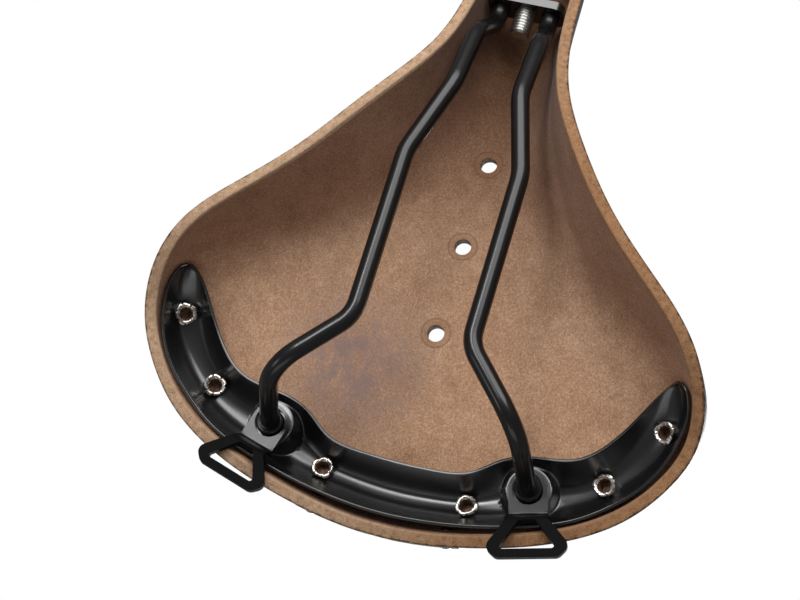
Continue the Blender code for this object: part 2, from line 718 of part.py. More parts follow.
def make_tension_bolt():
    """The shank, the collar behind the shackle's web, and the spigot peened over in front of it."""
    web_rear, web_front = SHACKLE_WEB_X - GAP, SHACKLE_WEB_X + SHACKLE_STRAP + GAP
    collar, spigot, head, rear = BOLT_COLLAR_RADIUS, BOLT_SPIGOT_RADIUS, BOLT_HEAD_RADIUS, BOLT_REAR_X
    profile = [(0, web_front + 1.6), (head - 2.2, web_front + 1.6), (head, web_front + 0.8),
               (head, web_front), (spigot, web_front), (spigot, web_rear), (collar, web_rear),
               (collar, web_rear - 3), (BOLT_RADIUS, web_rear - 3), (BOLT_RADIUS, rear + 0.8),
               (BOLT_RADIUS - 0.8, rear), (0, rear)]
    return turned("tension_bolt", profile, across_bolt(0), STEEL, steps=16)


def make_tension_shackle():
    """A U of strap: its web is pushed forward by the bolt, and its arms push on the nose plate."""
    half, strap = SHACKLE_HALF_WIDTH, SHACKLE_STRAP
    back, tip = SHACKLE_WEB_X, SHACKLE_TIP_X
    corners = [(tip, half - strap, 0), (tip, half, 0), (back, half, 0), (back, -half, 0), (tip, -half, 0),
               (tip, strap - half, 0), (back + strap, strap - half, 0), (back + strap, half - strap, 0)]
    path = rounded(corners, [0.4, 0.4, 4, 4, 0.4, 0.4, 1.2, 1.2], pieces=3, closed=True)
    level = Matrix.Translation(Vector((0, 0, BOLT_Z)) * MM)
    outline = [(p.x, p.y) for p in path]
    shackle = flat_outline("tension_shackle", [outline], SHACKLE_HALF_HEIGHT, level, ENAMEL)
    drill(shackle, Vector((back, 0, BOLT_Z)), Vector((1, 0, 0)), BOLT_SPIGOT_RADIUS + 0.4, 2 * strap)
    return shackle


def main():
    leather = make_leather()
    plate = make_cantle_plate()
    make_rear_rivets(leather, plate)
    badge = make_badge_plate()
    make_badge_rivets(leather, badge)
    for side, flip, sign in (("left", lambda v: Vector(v), 1), ("right", mirrored_y, -1)):
        make_rail(side, flip)
        make_bag_loop(side, sign)
    nose_plate = make_nose_plate()
    make_nose_rivets(leather, nose_plate)
    make_rail_bridge()
    make_tension_nut()
    make_tension_bolt()
    make_tension_shackle()


clear_scene()
PARTS = new_collection("leather_saddle")
TOOLS = new_collection("tools")
main()
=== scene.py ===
"""Looks of the leather saddle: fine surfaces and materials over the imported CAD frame.

Lengths are in millimetres in the tables and functions, and become metres where a mesh is made.
+X points to the nose, +Y to the rider's left, +Z up.
"""
import math
from contextlib import contextmanager

import bmesh
import bpy
import numpy as np
from mathutils import Matrix, Vector


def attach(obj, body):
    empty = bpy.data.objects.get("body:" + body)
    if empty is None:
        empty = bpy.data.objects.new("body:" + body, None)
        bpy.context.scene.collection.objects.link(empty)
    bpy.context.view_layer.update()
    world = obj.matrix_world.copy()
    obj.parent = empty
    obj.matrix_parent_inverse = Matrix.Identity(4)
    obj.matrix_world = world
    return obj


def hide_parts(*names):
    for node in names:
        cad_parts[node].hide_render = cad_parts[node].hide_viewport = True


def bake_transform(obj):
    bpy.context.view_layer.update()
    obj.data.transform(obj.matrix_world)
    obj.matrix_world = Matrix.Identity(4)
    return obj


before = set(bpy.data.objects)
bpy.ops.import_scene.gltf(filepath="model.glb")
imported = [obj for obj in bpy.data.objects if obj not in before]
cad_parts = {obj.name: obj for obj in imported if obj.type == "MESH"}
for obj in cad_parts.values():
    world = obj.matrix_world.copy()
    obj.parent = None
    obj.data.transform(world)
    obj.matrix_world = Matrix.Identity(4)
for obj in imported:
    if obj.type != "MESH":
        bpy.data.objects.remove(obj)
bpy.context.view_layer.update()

MM = 0.001
UP = Vector((0, 0, 1))

# Sizes shared with the CAD model.
LEATHER = 4.6
CANTLE = 1.2
NOSE_PLATE = 1.5
GAP = 0.3
RAIL_RADIUS = 3.5
RAIL_Y = 22.0
BOSS = Vector((-70.2, 50.4, 40.2))
BOSS_FLAT = 8.3
BOSS_OUTER = 11.2
BOLT_Z = 28.0
BOLT_RADIUS = 4.0
BOLT_REAR = 101.4
BRIDGE_FRONT = 115.0
BRIDGE_HALF_THICKNESS = 1.6
BRIDGE_HALF_WIDTH = 15.2
BRIDGE_HALF_HEIGHT = 7.5
RAIL_NOSE_Y = 10.0
RAIL_CORNERS = ((BOSS.x, BOSS.y, BOSS.z + 2.6), (BOSS.x, BOSS.y, 36.5), (-58.8, 46.2, 0),
                (-32.8, RAIL_Y, 0), (33.5, RAIL_Y, 0), (65.5, 12.7, 2.4), (92, 12.4, 11.0),
                (104.5, RAIL_NOSE_Y, BOLT_Z), (BRIDGE_FRONT - 0.4, RAIL_NOSE_Y, BOLT_Z))
RAIL_BENDS = (0, 12, 17, 14, 22, 22, 12, 9, 0)
NUT_HALF_LENGTH = 3.5
NUT_HALF_FLATS = 6.5
SHACKLE_WEB = 127.8
SHACKLE_STRAP = 3.0
SHACKLE_TIP = 143.4
SHACKLE_HALF_WIDTH = 10.2
SHACKLE_HALF_HEIGHT = 4.0
VENT_RADIUS = 3.3
VENT_XS = (-20.4, 16.0, 52.0)

CROWN = ((-50, 50.6), (-30, 46.8), (-10, 45.3), (10, 46.4), (40, 48.2), (70, 50.0), (100, 51.4), (134, 51.6))

# Ribs of the leather's left half, from the centre of the back to the tip of the nose: lower edge x, y, z;
# spine x; then the fractions run out level at the spine, risen straight and leaned in at the edge.
RIBS = (
    (-101.5, 0.0, 37.0, -50, 0.73, 2.40, 0.30),
    (-98.6, 29.0, 36.4, -48, 0.74, 2.38, 0.26),
    (-92.6, 53.0, 34.6, -44, 0.75, 2.25, 0.22),
    (-84.6, 72.5, 32.8, -39, 0.78, 2.02, 0.16),
    (-73.4, 88.6, 30.6, -33, 0.83, 1.70, 0.09),
    (-60.6, 99.2, 27.3, -27, 0.87, 1.31, 0.03),
    (-44.2, 106.2, 21.0, -19, 0.90, 0.91, -0.02),
    (-27.4, 104.6, 9.5, -10, 0.94, 0.67, -0.05),
    (-12.6, 96.8, 0.5, 0, 0.90, 0.58, 0.00),
    (5.9, 78.7, -4.8, 13, 0.81, 0.57, 0.10),
    (25.5, 58.6, -8.0, 28, 0.70, 0.60, 0.22),
    (45.2, 43.9, -8.6, 45, 0.62, 0.63, 0.29),
    (63.5, 33.5, -3.4, 62, 0.62, 0.63, 0.27),
    (84.2, 26.1, 6.9, 82, 0.70, 0.62, 0.17),
    (110.0, 22.3, 16.0, 106, 0.74, 0.62, 0.08),
    (137.0, 20.0, 22.5, 125, 0.72, 0.66, 0.05),
    (154.0, 12.5, 26.5, 132, 0.66, 0.75, 0.05),
    (160.0, 0.0, 28.0, 134, 0.60, 0.80, 0.05),
)

# The cantle plate's trough, left half, centre to tip: outer rim, inner rim, crest of the underside.
TROUGH = (
    (-93.0, 0.0, 33.0, -73.2, 0.0, 39.2, -83.0, 0.0, 52.0),
    (-92.3, 14.0, 33.0, -72.8, 12.5, 39.2, -82.3, 14.0, 51.8),
    (-90.3, 28.6, 33.2, -70.6, 26.5, 39.2, -80.2, 28.6, 51.2),
    (-87.6, 41.0, 33.6, -63.8, 36.5, 38.8, -76.5, 41.0, 50.0),
    (-84.4, 52.5, 33.5, -59.5, 47.0, 37.0, -72.8, 52.5, 48.4),
    (-79.0, 67.5, 32.2, -57.8, 61.0, 34.5, -67.6, 66.5, 45.9),
    (-70.6, 80.3, 30.8, -53.3, 70.5, 33.0, -61.8, 77.4, 42.6),
    (-61.0, 90.3, 27.8, -46.8, 76.6, 31.6, -53.5, 86.8, 39.0),
    (-49.3, 97.0, 24.2, -40.5, 81.0, 30.2, -44.6, 93.4, 34.8),
    (-37.7, 99.8, 21.6, -34.0, 85.0, 28.0, -35.5, 96.0, 30.0),
    (-30.5, 99.5, 19.6, -28.3, 88.5, 25.6, -29.2, 96.2, 25.2),
    (-25.6, 97.4, 18.4, -24.2, 92.0, 22.6, -24.8, 95.3, 21.6),
    (-23.4, 95.0, 19.4, -23.2, 94.0, 20.2, -23.3, 94.6, 20.0),
)
TROUGH_ROUNDNESS = 2.5
RIVET_SITES = ((8.6, 0.34), (6.0, 0.5), (2.0, 0.51))

LOOP_TOE_OUT = math.radians(16)
LOOP_THICKNESS = 2.3
LOOP_HALF_WIDTH = 7.15
LOOP_FOLD = 8.7
LOOP_STEEP = math.radians(72)
LOOP_FLAT = math.radians(7)
LOOP_DROP = 5.0
LOOP_BENDS = (1.2, 3.4)
LOOP_LENGTH = 23.2
LOOP_BAR_HALF = 14.85
COLLAR_RADIUS = 5.3

BADGE_T = 0.088
BADGE_S = (0.845, 0.965)
BADGE_RIVET = (0.075, 0.925)
BADGE_THICKNESS = 0.9

NOSE_PLATE_START = 0.893
NOSE_PLATE_SPAN = (0.50, 0.92)
NOSE_RIVET_SITES = ((0.918, 0.68), (0.953, 0.69), (1.0, 0.72))

# Drilled holes: radius, and how far each drill reaches from its starting point.
REAR_HOLE = 3.1
CANTLE_HOLE = 3.0
NOSE_HOLE = 2.8
BADGE_HOLE = 1.7
SHACKLE_HOLE = 3.7
LEATHER_REACH = 8
REAR_REACH = 18
PLATE_REACH = 4
NOSE_REACH = 9
BADGE_REACH = 3
SHACKLE_REACH = 6

# A rear rivet's rolled end is its profile points from ROLL_START on, each held to the tube by a share.
ROLL_START = 8
ROLL_SHARES = (0.2, 0.6, 1, 1, 1, 0.7, 0.4, 0.15)


# ---- Surfaces ----

def even_slopes(keys, rows):
    """Slopes at the stations that let cubic pieces meet with the same curvature."""
    gaps = np.diff(keys)[:, None]
    steps = np.diff(rows, axis=0) / gaps
    inner = 3 * (steps[:-1] / gaps[:-1] + steps[1:] / gaps[1:])
    system = np.eye(len(keys))
    for k in range(1, len(keys) - 1):
        before, after = 1 / gaps[k - 1, 0], 1 / gaps[k, 0]
        system[k, k - 1:k + 2] = before, 2 * (before + after), after
    return np.linalg.solve(system, np.concatenate([steps[:1], inner, steps[-1:]]))


def through(keys, rows, at):
    """Smooth rows of values at many places along stations, by cubic pieces."""
    keys, rows, at = np.array(keys, float), np.array(rows, float), np.atleast_1d(at).astype(float)
    slopes = even_slopes(keys, rows)
    index = np.clip(np.searchsorted(keys, at, side="left") - 1, 0, len(keys) - 2)
    width = (keys[index + 1] - keys[index])[:, None]
    u = (at - keys[index])[:, None] / width
    return ((2 * u ** 3 - 3 * u ** 2 + 1) * rows[index] + (u ** 3 - 2 * u ** 2 + u) * width * slopes[index]
            + (3 * u ** 2 - 2 * u ** 3) * rows[index + 1] + (u ** 3 - u ** 2) * width * slopes[index + 1])


def crown(x):
    heights = through([row[0] for row in CROWN], [(row[1],) for row in CROWN], np.ravel(x))
    return heights.reshape(np.shape(x))


def mirrored_row(row):
    return [-value if place % 3 == 1 and len(row) == 9 or place == 1 else value
            for place, value in enumerate(row)]


def rib_tables():
    edge = np.array(RIBS, float)[:, :2]
    steps = np.hypot(*np.diff(edge, axis=0).T)
    keys = np.concatenate([[0], np.cumsum(steps)]) / steps.sum()
    keys = np.concatenate([[-keys[1]], keys, [2 - keys[-2]]])
    return keys, [mirrored_row(RIBS[1])] + [list(row) for row in RIBS] + [mirrored_row(RIBS[-2])]


RIB_KEYS, RIB_ROWS = rib_tables()


def unit(vectors):
    return vectors / np.linalg.norm(vectors, axis=-1, keepdims=True)


def leather_sheet(ts, ss):
    """Points and outward normals of the leather's outer surface, by rib place t and rib distance s."""
    ex, ey, ez, sx, run, rise, lean = through(RIB_KEYS, RIB_ROWS, ts).T
    top = np.stack([sx, 0 * sx, crown(sx)], 1)
    edge = np.stack([ex, ey, ez], 1)
    plan = np.stack([ex - sx, ey, 0 * sx], 1)
    shoulder = top + run[:, None] * plan
    shoulder[:, 2] += run * plan[:, 0] * (crown(sx + 0.5) - crown(sx - 0.5))
    skirt = edge - lean[:, None] * plan
    skirt[:, 2] += rise * (top[:, 2] - ez)
    s = np.asarray(ss)[None, :, None]
    r = 1 - s
    points = (r ** 3 * top[:, None] + 3 * r * r * s * shoulder[:, None]
              + 3 * r * s * s * skirt[:, None] + s ** 3 * edge[:, None])
    normals = np.cross(np.gradient(points, axis=0), np.gradient(points, axis=1))
    normals[:, 0, 1] = 0
    for row, beside in ((0, 1), (-1, -2)):
        if ts[row] in (0, 1):
            normals[row, :, 1] = 0
            normals[row, 0] = normals[beside, 0]
    return points, unit(normals)


def leather_at(t, s):
    """One point and normal of the leather's outer surface."""
    step = 0.002
    points, normals = leather_sheet(np.array([t - step, t, t + step]), np.array([s - step, s, s + step]))
    point, normal = Vector(points[1, 1]), Vector(normals[1, 1])
    if t in (0, 1):
        point.y = normal.y = 0
    return point, normal.normalized()


def trough_sheet(ribs, ws, boss=True):
    """Underside of the cantle plate, with the drawn bosses pressed down into it."""
    rows = [mirrored_row(TROUGH[1])] + [list(row) for row in TROUGH]
    values = through(range(-1, len(TROUGH)), rows, ribs)
    outer, inner, crest = values[:, 0:3], values[:, 3:6], values[:, 6:9]
    chord = inner - outer
    plan = chord[:, :2]
    peak = ((crest - outer)[:, :2] * plan).sum(1) / (plan ** 2).sum(1)
    peak = np.clip(peak, 0.2, 0.8)[:, None]
    rise = crest - outer - peak * chord
    w = np.asarray(ws)[None, :]
    away = np.where(w < peak, (w - peak) / peak, (w - peak) / (1 - peak))
    points = (outer[:, None] + w[..., None] * chord[:, None]
              + (1 - np.abs(away) ** TROUGH_ROUNDNESS)[..., None] * rise[:, None])
    if boss:
        distance = np.hypot(points[..., 0] - BOSS.x, points[..., 1] - BOSS.y)
        u = np.clip((distance - BOSS_FLAT) / (BOSS_OUTER - BOSS_FLAT), 0, 1)
        points[..., 2] = BOSS.z + u * u * (3 - 2 * u) * (points[..., 2] - BOSS.z)
    normals = np.cross(np.gradient(points, axis=1), np.gradient(points, axis=0))
    if ribs[0] == 0:
        points[0, :, 1] = 0
        normals[0, :, 1] = 0
    return points, unit(normals)


def trough_at(rib, w):
    points, normals = trough_sheet(np.array([rib - 0.01, rib, rib + 0.01]), [w - 0.01, w, w + 0.01], False)
    return Vector(points[1, 1]), Vector(normals[1, 1])


def leather_along(origin, direction):
    """Where a line from inside leaves the leather: its height there, and the leather's normal."""
    t_mid, s_mid, reach = 0.5, 0.5, 0.5
    start, line = np.array(origin), np.array(direction)
    for _ in range(14):
        ts = np.unique(np.clip(t_mid + reach * np.arange(-6, 7) / 6, 0, 1))
        ss = np.unique(np.clip(s_mid + reach * np.arange(-6, 7) / 6, 0, 1))
        offsets = leather_sheet(ts, ss)[0] - start
        miss = np.linalg.norm(np.cross(offsets, line), axis=-1) + np.maximum(-(offsets @ line), 0)
        i, j = np.unravel_index(np.argmin(miss), miss.shape)
        t_mid, s_mid = ts[i], ss[j]
        reach *= 0.5
    point, normal = leather_at(t_mid, s_mid)
    return (point - Vector(origin)).dot(Vector(direction)), normal


# ---- Mesh helpers ----

def add_object(name, mesh, material=None):
    item = bpy.data.objects.new(name, mesh)
    bpy.context.scene.collection.objects.link(item)
    if material:
        mesh.materials.append(material)
    return item


@contextmanager
def edited(mesh):
    """The mesh in its editable form, which is written back at the end."""
    bm = bmesh.new()
    bm.from_mesh(mesh)
    yield bm
    bm.to_mesh(mesh)
    bm.free()


def baked(item, weld=0.0):
    """Replace an object's modifiers, or a curve, by the mesh that they make."""
    bpy.context.view_layer.update()
    evaluated = item.evaluated_get(bpy.context.evaluated_depsgraph_get())
    mesh = bpy.data.meshes.new_from_object(evaluated)
    name, place = item.name, item.matrix_world.copy()
    bpy.data.objects.remove(item, do_unlink=True)
    if weld:
        with edited(mesh) as bm:
            bmesh.ops.remove_doubles(bm, verts=bm.verts, dist=weld * MM)
    mesh.name = name
    solid = add_object(name, mesh)
    solid.matrix_world = place
    return solid


def smooth(item, degrees=40):
    item.data.shade_smooth()
    item.data.set_sharp_from_angle(angle=math.radians(degrees))
    return item


def facing(point, direction):
    """A matrix at the point, in millimetres, whose local Z runs along the direction."""
    turn = Vector(direction).to_track_quat("Z", "Y").to_matrix().to_4x4()
    return Matrix.Translation(Vector(point) * MM) @ turn


def flipped(v):
    return Vector((v[0], -v[1], v[2]))


def section_rows(points, normals, thickness, radius, inward):
    """Turn a sheet into a thick one: each row becomes a path over the sheet, round its rim and back."""
    side = -1 if inward else 1
    far = points + side * thickness * normals
    tangent = unit(points[:, -1] - points[:, -2])
    arc = np.linspace(0, math.pi / 2, 5)[None, :, None]
    near_normal = -side * normals[:, -1][:, None]
    edge = points[:, -1][:, None] - radius * tangent[:, None]
    first = edge + tangent[:, None] * radius * np.sin(arc) - near_normal * radius * (1 - np.cos(arc))
    middle = np.linspace(0.25, 0.75, 3)[None, :, None]
    reach = thickness - 2 * radius
    flat = points[:, -1][:, None] - near_normal * (radius + reach * middle)
    second = edge + tangent[:, None] * radius * np.cos(arc) - near_normal * (
        thickness - radius + radius * np.sin(arc))
    return far, first, flat, second


def thick_sheet(name, points, normals, thickness, radius, inward, looks, wrap=True, cap=None):
    """A solid from half a sheet given as rows of points, and its mirror image over the XZ plane.

    The near side is the sheet itself. looks has one material, or one each for near side, rim and far side.

    With wrap, the sheet's first column gets a rounded rim too. cap closes the first or last row.
    Stores how deep each point lies, 0 on the near side and 1 on the far side, as an attribute."""
    far, first, flat, second = section_rows(points, normals, thickness, radius, inward)
    columns = [points[:, :-1], first, flat, second, far[:, -2::-1]]
    inside = points.shape[1] - 1
    round_edge = 0.05 * np.linspace(0, 1, 5)
    rim_depths = [*round_edge, 0.3, 0.5, 0.7, *(0.95 + round_edge)]
    depths = [0] * inside + rim_depths + [1] * inside
    kinds = [0] * inside + [1] * len(rim_depths) + [2] * inside
    if wrap:
        inner_rim = section_rows(points[:, ::-1], normals[:, ::-1], thickness, radius, inward)[1:]
        back = np.concatenate(inner_rim, 1)[:, ::-1]
        columns = [points[:, 1:-1], first, flat, second, far[:, -2:0:-1], back]
        depths = depths[1:-1] + rim_depths[::-1]
        kinds = kinds[1:-1] + [1] * len(rim_depths)
    grid = np.concatenate(columns, 1)
    rows, count = grid.shape[:2]
    last = count if wrap else count - 1
    faces, materials = [], []
    for i in range(rows - 1):
        for j in range(last):
            k = (j + 1) % count
            faces.append((i * count + j, (i + 1) * count + j, (i + 1) * count + k, i * count + k))
            materials.append(1 if 1 in (kinds[j], kinds[k]) else kinds[j])
    if cap == "first":
        faces.append(tuple(range(count)))
        materials.append(1)
    if cap == "last":
        faces.append(tuple((rows - 1) * count + j for j in range(count - 1, -1, -1)))
        materials.append(1)
    mesh = bpy.data.meshes.new(name)
    mesh.from_pydata([tuple(v) for v in grid.reshape(-1, 3) * MM], [], faces)
    if len(looks) > 1:
        mesh.polygons.foreach_set("material_index", materials)
    depth = mesh.attributes.new("depth", "FLOAT", "POINT")
    depth.data.foreach_set("value", np.tile(depths, rows).astype(np.float32))
    item = add_object(name, mesh)
    for look in looks:
        mesh.materials.append(look)
    mirror = item.modifiers.new("Mirror", "MIRROR")
    mirror.use_axis = (False, True, False)
    mirror.merge_threshold = 0.0000005
    item = baked(item)
    with edited(item.data) as bm:
        bmesh.ops.recalc_face_normals(bm, faces=bm.faces)
    return smooth(item)


def holes(item, sites):
    """Cut round holes: each site is a point, a direction, a radius and how far to reach each way."""
    mesh = bpy.data.meshes.new("tool")
    with edited(mesh) as bm:
        for point, direction, radius, reach in sites:
            bmesh.ops.create_cone(bm, cap_ends=True, segments=48, radius1=radius * MM, radius2=radius * MM,
                                  depth=2 * reach * MM, matrix=facing(point, direction))
    for look in item.data.materials:
        mesh.materials.append(look)
    for polygon in mesh.polygons:
        polygon.material_index = min(1, len(mesh.materials) - 1)
    tool = add_object("tool", mesh)
    boolean = item.modifiers.new("Holes", "BOOLEAN")
    boolean.operation = "DIFFERENCE"
    boolean.solver = "MANIFOLD"
    boolean.object = tool
    item = baked(item)
    bpy.data.objects.remove(tool, do_unlink=True)
    return smooth(item)


def turned(name, profile, matrix, material, steps=48, ripple=None):
    """A solid of revolution from (radius, height) pairs, top of the axis first.

    ripple(place along the profile, turn) scales the radius, for edges that are torn or rolled unevenly."""
    verts, faces = [], []
    rings = []
    for index, (radius, height) in enumerate(profile):
        if radius == 0:
            rings.append([len(verts)])
            verts.append((0, 0, height * MM))
            continue
        ring = []
        for step in range(steps):
            turn = 2 * math.pi * step / steps
            scale, lift = ripple(index, turn) if ripple else (1, 0)
            ring.append(len(verts))
            verts.append((radius * scale * math.cos(turn) * MM, radius * scale * math.sin(turn) * MM,
                          (height + lift) * MM))
        rings.append(ring)
    for a, b in zip(rings, rings[1:]):
        for step in range(steps):
            after = (step + 1) % steps
            corners = [a[step % len(a)], b[step % len(b)], b[after % len(b)], a[after % len(a)]]
            faces.append(tuple(dict.fromkeys(corners)))
    mesh = bpy.data.meshes.new(name)
    mesh.from_pydata(verts, [], faces)
    item = add_object(name, mesh, material)
    item.matrix_world = matrix
    return smooth(item)


def rounded(points, radii, pieces, closed=False):
    """The path through the points with each corner turned on an arc of its own radius."""
    points = [Vector(point) for point in points]
    count = len(points)
    path = []
    for k, point in enumerate(points):
        if not closed and k in (0, count - 1):
            path.append(point)
            continue
        back = (points[k - 1] - point).normalized()
        ahead = (points[(k + 1) % count] - point).normalized()
        half = back.angle(ahead) / 2
        centre = point + (back + ahead).normalized() * (radii[k] / math.sin(half))
        start = point + back * (radii[k] / math.tan(half)) - centre
        end = point + ahead * (radii[k] / math.tan(half)) - centre
        sweep = start.angle(end)
        for piece in range(pieces + 1):
            a = sweep * piece / pieces
            path.append(centre + (math.sin(sweep - a) * start + math.sin(a) * end) / math.sin(sweep))
    return path


def in_plan(points):
    return [(point.x, point.y) for point in points]


def circle(radius, centre=(0, 0), sides=48):
    turns = [2 * math.pi * k / sides for k in range(sides)]
    return [(centre[0] + radius * math.cos(a), centre[1] + radius * math.sin(a)) for a in turns]


def flat_outline(name, loops, half_thickness, matrix):
    curve = bpy.data.curves.new(name, "CURVE")
    curve.dimensions = "2D"
    curve.fill_mode = "BOTH"
    curve.extrude = half_thickness * MM
    for points in loops:
        spline = curve.splines.new("POLY")
        spline.points.add(len(points) - 1)
        for corner, point in zip(spline.points, points):
            corner.co = (point[0] * MM, point[1] * MM, 0, 1)
        spline.use_cyclic_u = True
    item = add_object(name, curve)
    item.matrix_world = matrix
    return baked(item, weld=0.001)


def softened(item, width, degrees=35):
    bevel = item.modifiers.new("Bevel", "BEVEL")
    bevel.width = width * MM
    bevel.segments = 3
    bevel.limit_method = "ANGLE"
    bevel.angle_limit = math.radians(degrees)
    item.data.shade_smooth()
    item.modifiers.new("Weighted", "WEIGHTED_NORMAL").weight = 100
    return baked(item)


def place(item, body, slot, *nodes, material=None):
    """Hang a piece on its body, with the material if one is given, and hide the CAD nodes that it stands for.
    slot, the name of its finish, is not used.
    """
    if material:
        item.data.materials.clear()
        item.data.materials.append(material)
    if nodes:
        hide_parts(*nodes)
    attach(item, body)


# ---- Materials ----

class Look:
    """A material under construction, with short ways to add and join nodes."""

    def __init__(self, name):
        self.material = bpy.data.materials.new(name)
        self.material.use_nodes = True
        self.tree = self.material.node_tree
        self.shader = self.tree.nodes["Principled BSDF"]
        coordinates = self.tree.nodes.new("ShaderNodeTexCoord").outputs
        self.place, self.normal = coordinates["Object"], coordinates["Normal"]

    def set(self, **values):
        for key, value in values.items():
            self.shader.inputs[key.replace("_", " ")].default_value = value

    def node(self, kind, **inputs):
        node = self.tree.nodes.new(kind)
        for key, value in inputs.items():
            self.feed(node.inputs[key.replace("_", " ")], value)
        return node

    def feed(self, socket, value):
        if isinstance(value, bpy.types.NodeSocket):
            self.tree.links.new(value, socket)
        else:
            socket.default_value = value

    def noise(self, size, detail=3.0, roughness=0.5, stretch=None):
        """Noise whose grain is about size millimetres."""
        vector = self.place
        if stretch:
            vector = self.node("ShaderNodeMapping", Vector=vector, Scale=stretch).outputs[0]
        node = self.node("ShaderNodeTexNoise", Vector=vector, Scale=1 / (size * MM), Detail=detail,
                         Roughness=roughness)
        return node.outputs["Fac"]

    def math(self, operation, a, b=0.0, c=0.0):
        node = self.tree.nodes.new("ShaderNodeMath")
        node.operation = operation
        for socket, value in zip(node.inputs, (a, b, c)):
            self.feed(socket, value)
        return node.outputs[0]

    def total(self, *parts):
        """The sum of values, each given with its weight."""
        added = None
        for value, weight in parts:
            part = self.math("MULTIPLY", value, weight)
            added = part if added is None else self.math("ADD", added, part)
        return added

    def length(self, a, b):
        return self.math("SQRT", self.total((a, a), (b, b)))

    def ramp(self, factor, *stops):
        node = self.node("ShaderNodeValToRGB", Fac=factor)
        points = node.color_ramp.elements
        while len(points) < len(stops):
            points.new(0.5)
        for point, (position, colour) in zip(points, stops):
            point.position = position
            point.color = (*colour, 1)
        return node.outputs[0]

    def grey(self, factor, low, high, start=0.0, end=1.0):
        node = self.node("ShaderNodeMapRange", Value=factor)
        for key, value in (("From Min", start), ("From Max", end), ("To Min", low), ("To Max", high)):
            node.inputs[key].default_value = value
        return node.outputs[0]

    def mix(self, factor, a, b, blend="MIX"):
        node = self.tree.nodes.new("ShaderNodeMix")
        node.data_type = "RGBA"
        node.blend_type = blend
        self.feed(node.inputs[0], factor)
        self.feed(node.inputs[6], a if isinstance(a, bpy.types.NodeSocket) else (*a, 1))
        self.feed(node.inputs[7], b if isinstance(b, bpy.types.NodeSocket) else (*b, 1))
        return node.outputs[2]

    def tint(self, factor, base, colour):
        """The base, multiplied by a colour where the factor says so."""
        return self.mix(factor, base, self.mix(1.0, base, colour, "MULTIPLY"))

    def colour(self, value):
        self.feed(self.shader.inputs["Base Color"], value)

    def rough(self, value):
        self.feed(self.shader.inputs["Roughness"], value)

    def bump(self, *heights):
        """Each height is (value, strength, depth in millimetres), added one on another."""
        normal = None
        for value, strength, depth in heights:
            node = self.node("ShaderNodeBump", Height=value, Strength=strength, Distance=depth * MM)
            if normal:
                self.tree.links.new(normal, node.inputs["Normal"])
            normal = node.outputs[0]
        self.tree.links.new(normal, self.shader.inputs["Normal"])


def axis_parts(look):
    return look.node("ShaderNodeSeparateXYZ", Vector=look.place).outputs


def vent_distance(look):
    """Distance in metres from the nearest vent hole's axis."""
    x, y, _ = axis_parts(look)
    nearest = None
    for vent in VENT_XS:
        dx = look.math("SUBTRACT", x, vent * MM)
        length = look.length(dx, y)
        nearest = length if nearest is None else look.math("MINIMUM", nearest, length)
    return nearest


def suede():
    """Flesh side of the leather: napped, mottled, faintly bruised, rubbed brown round the vents.

    It has painted shade on its steep flanks and in the nose, and painted light at the back, which makes it
    paler there."""
    look = Look("flesh_side")
    broad = look.noise(30, 3, 0.5)
    blotch = look.noise(6, 4, 0.6)
    fleck = look.noise(0.8, 3, 0.7)
    hair = look.noise(0.32, 2, 0.6)
    tone = look.total((broad, 0.15), (blotch, 0.13), (fleck, 0.36), (hair, 0.36))
    base = look.ramp(tone, (0.37, (0.260, 0.140, 0.083)), (0.50, (0.495, 0.292, 0.180)),
                     (0.62, (0.740, 0.500, 0.345)))
    shifted = look.node("ShaderNodeMapping", Vector=look.place, Location=(0.040, 0.028, -0.043))
    spot = look.node("ShaderNodeVectorMath", Vector=shifted.outputs[0])
    spot.operation = "LENGTH"
    near = look.grey(spot.outputs["Value"], 1.0, 0.0, 0.008, 0.036)
    bruise = look.math("MULTIPLY", near, look.grey(blotch, 0.35, 1.0, 0.38, 0.56))
    base = look.mix(bruise, base, look.mix(0.82, base, (0.255, 0.185, 0.178)))
    # Painted light: the suede is made paler towards the back, where more light falls.
    rear = look.grey(axis_parts(look)[0], 1.0, 0.0, -0.055, 0.01)
    base = look.tint(rear, base, (1.26, 1.22, 1.18))
    # Painted shade: darker where the leather is steep, on its flanks, made uneven by the broad noise.
    slope = look.math("ABSOLUTE", look.node("ShaderNodeSeparateXYZ", Vector=look.normal).outputs[2])
    uneven = look.math("ADD", slope, look.math("MULTIPLY", look.math("SUBTRACT", broad, 0.5), 0.5))
    flank_shade = look.grey(uneven, 0.62, 0.0, 0.25, 0.85)
    base = look.tint(flank_shade, base, (0.66, 0.50, 0.41))
    # Painted shade: darker towards the nose, in its deep channel.
    narrow = look.grey(axis_parts(look)[0], 0.0, 1.0, 0.020, 0.085)
    base = look.tint(narrow, base, (0.42, 0.35, 0.30))
    vent = vent_distance(look)
    halo = look.grey(vent, 0.55, 0.0, 0.0034, 0.0064)
    base = look.mix(halo, base, (0.36, 0.17, 0.075))
    groove = look.grey(look.math("ABSOLUTE", look.math("SUBTRACT", vent, 0.0056)), 1.0, 0.0, 0.0, 0.0006)
    look.colour(look.mix(look.math("MULTIPLY", groove, 0.45), base, (0.17, 0.085, 0.045)))
    look.set(Roughness=0.95, Sheen_Weight=0.12, Sheen_Roughness=0.6, Specular_IOR_Level=0.15)
    look.bump((blotch, 0.2, 0.4), (fleck, 0.5, 0.3), (hair, 0.4, 0.15),
              (look.math("MULTIPLY", groove, -1.0), 0.6, 0.3))
    return look.material


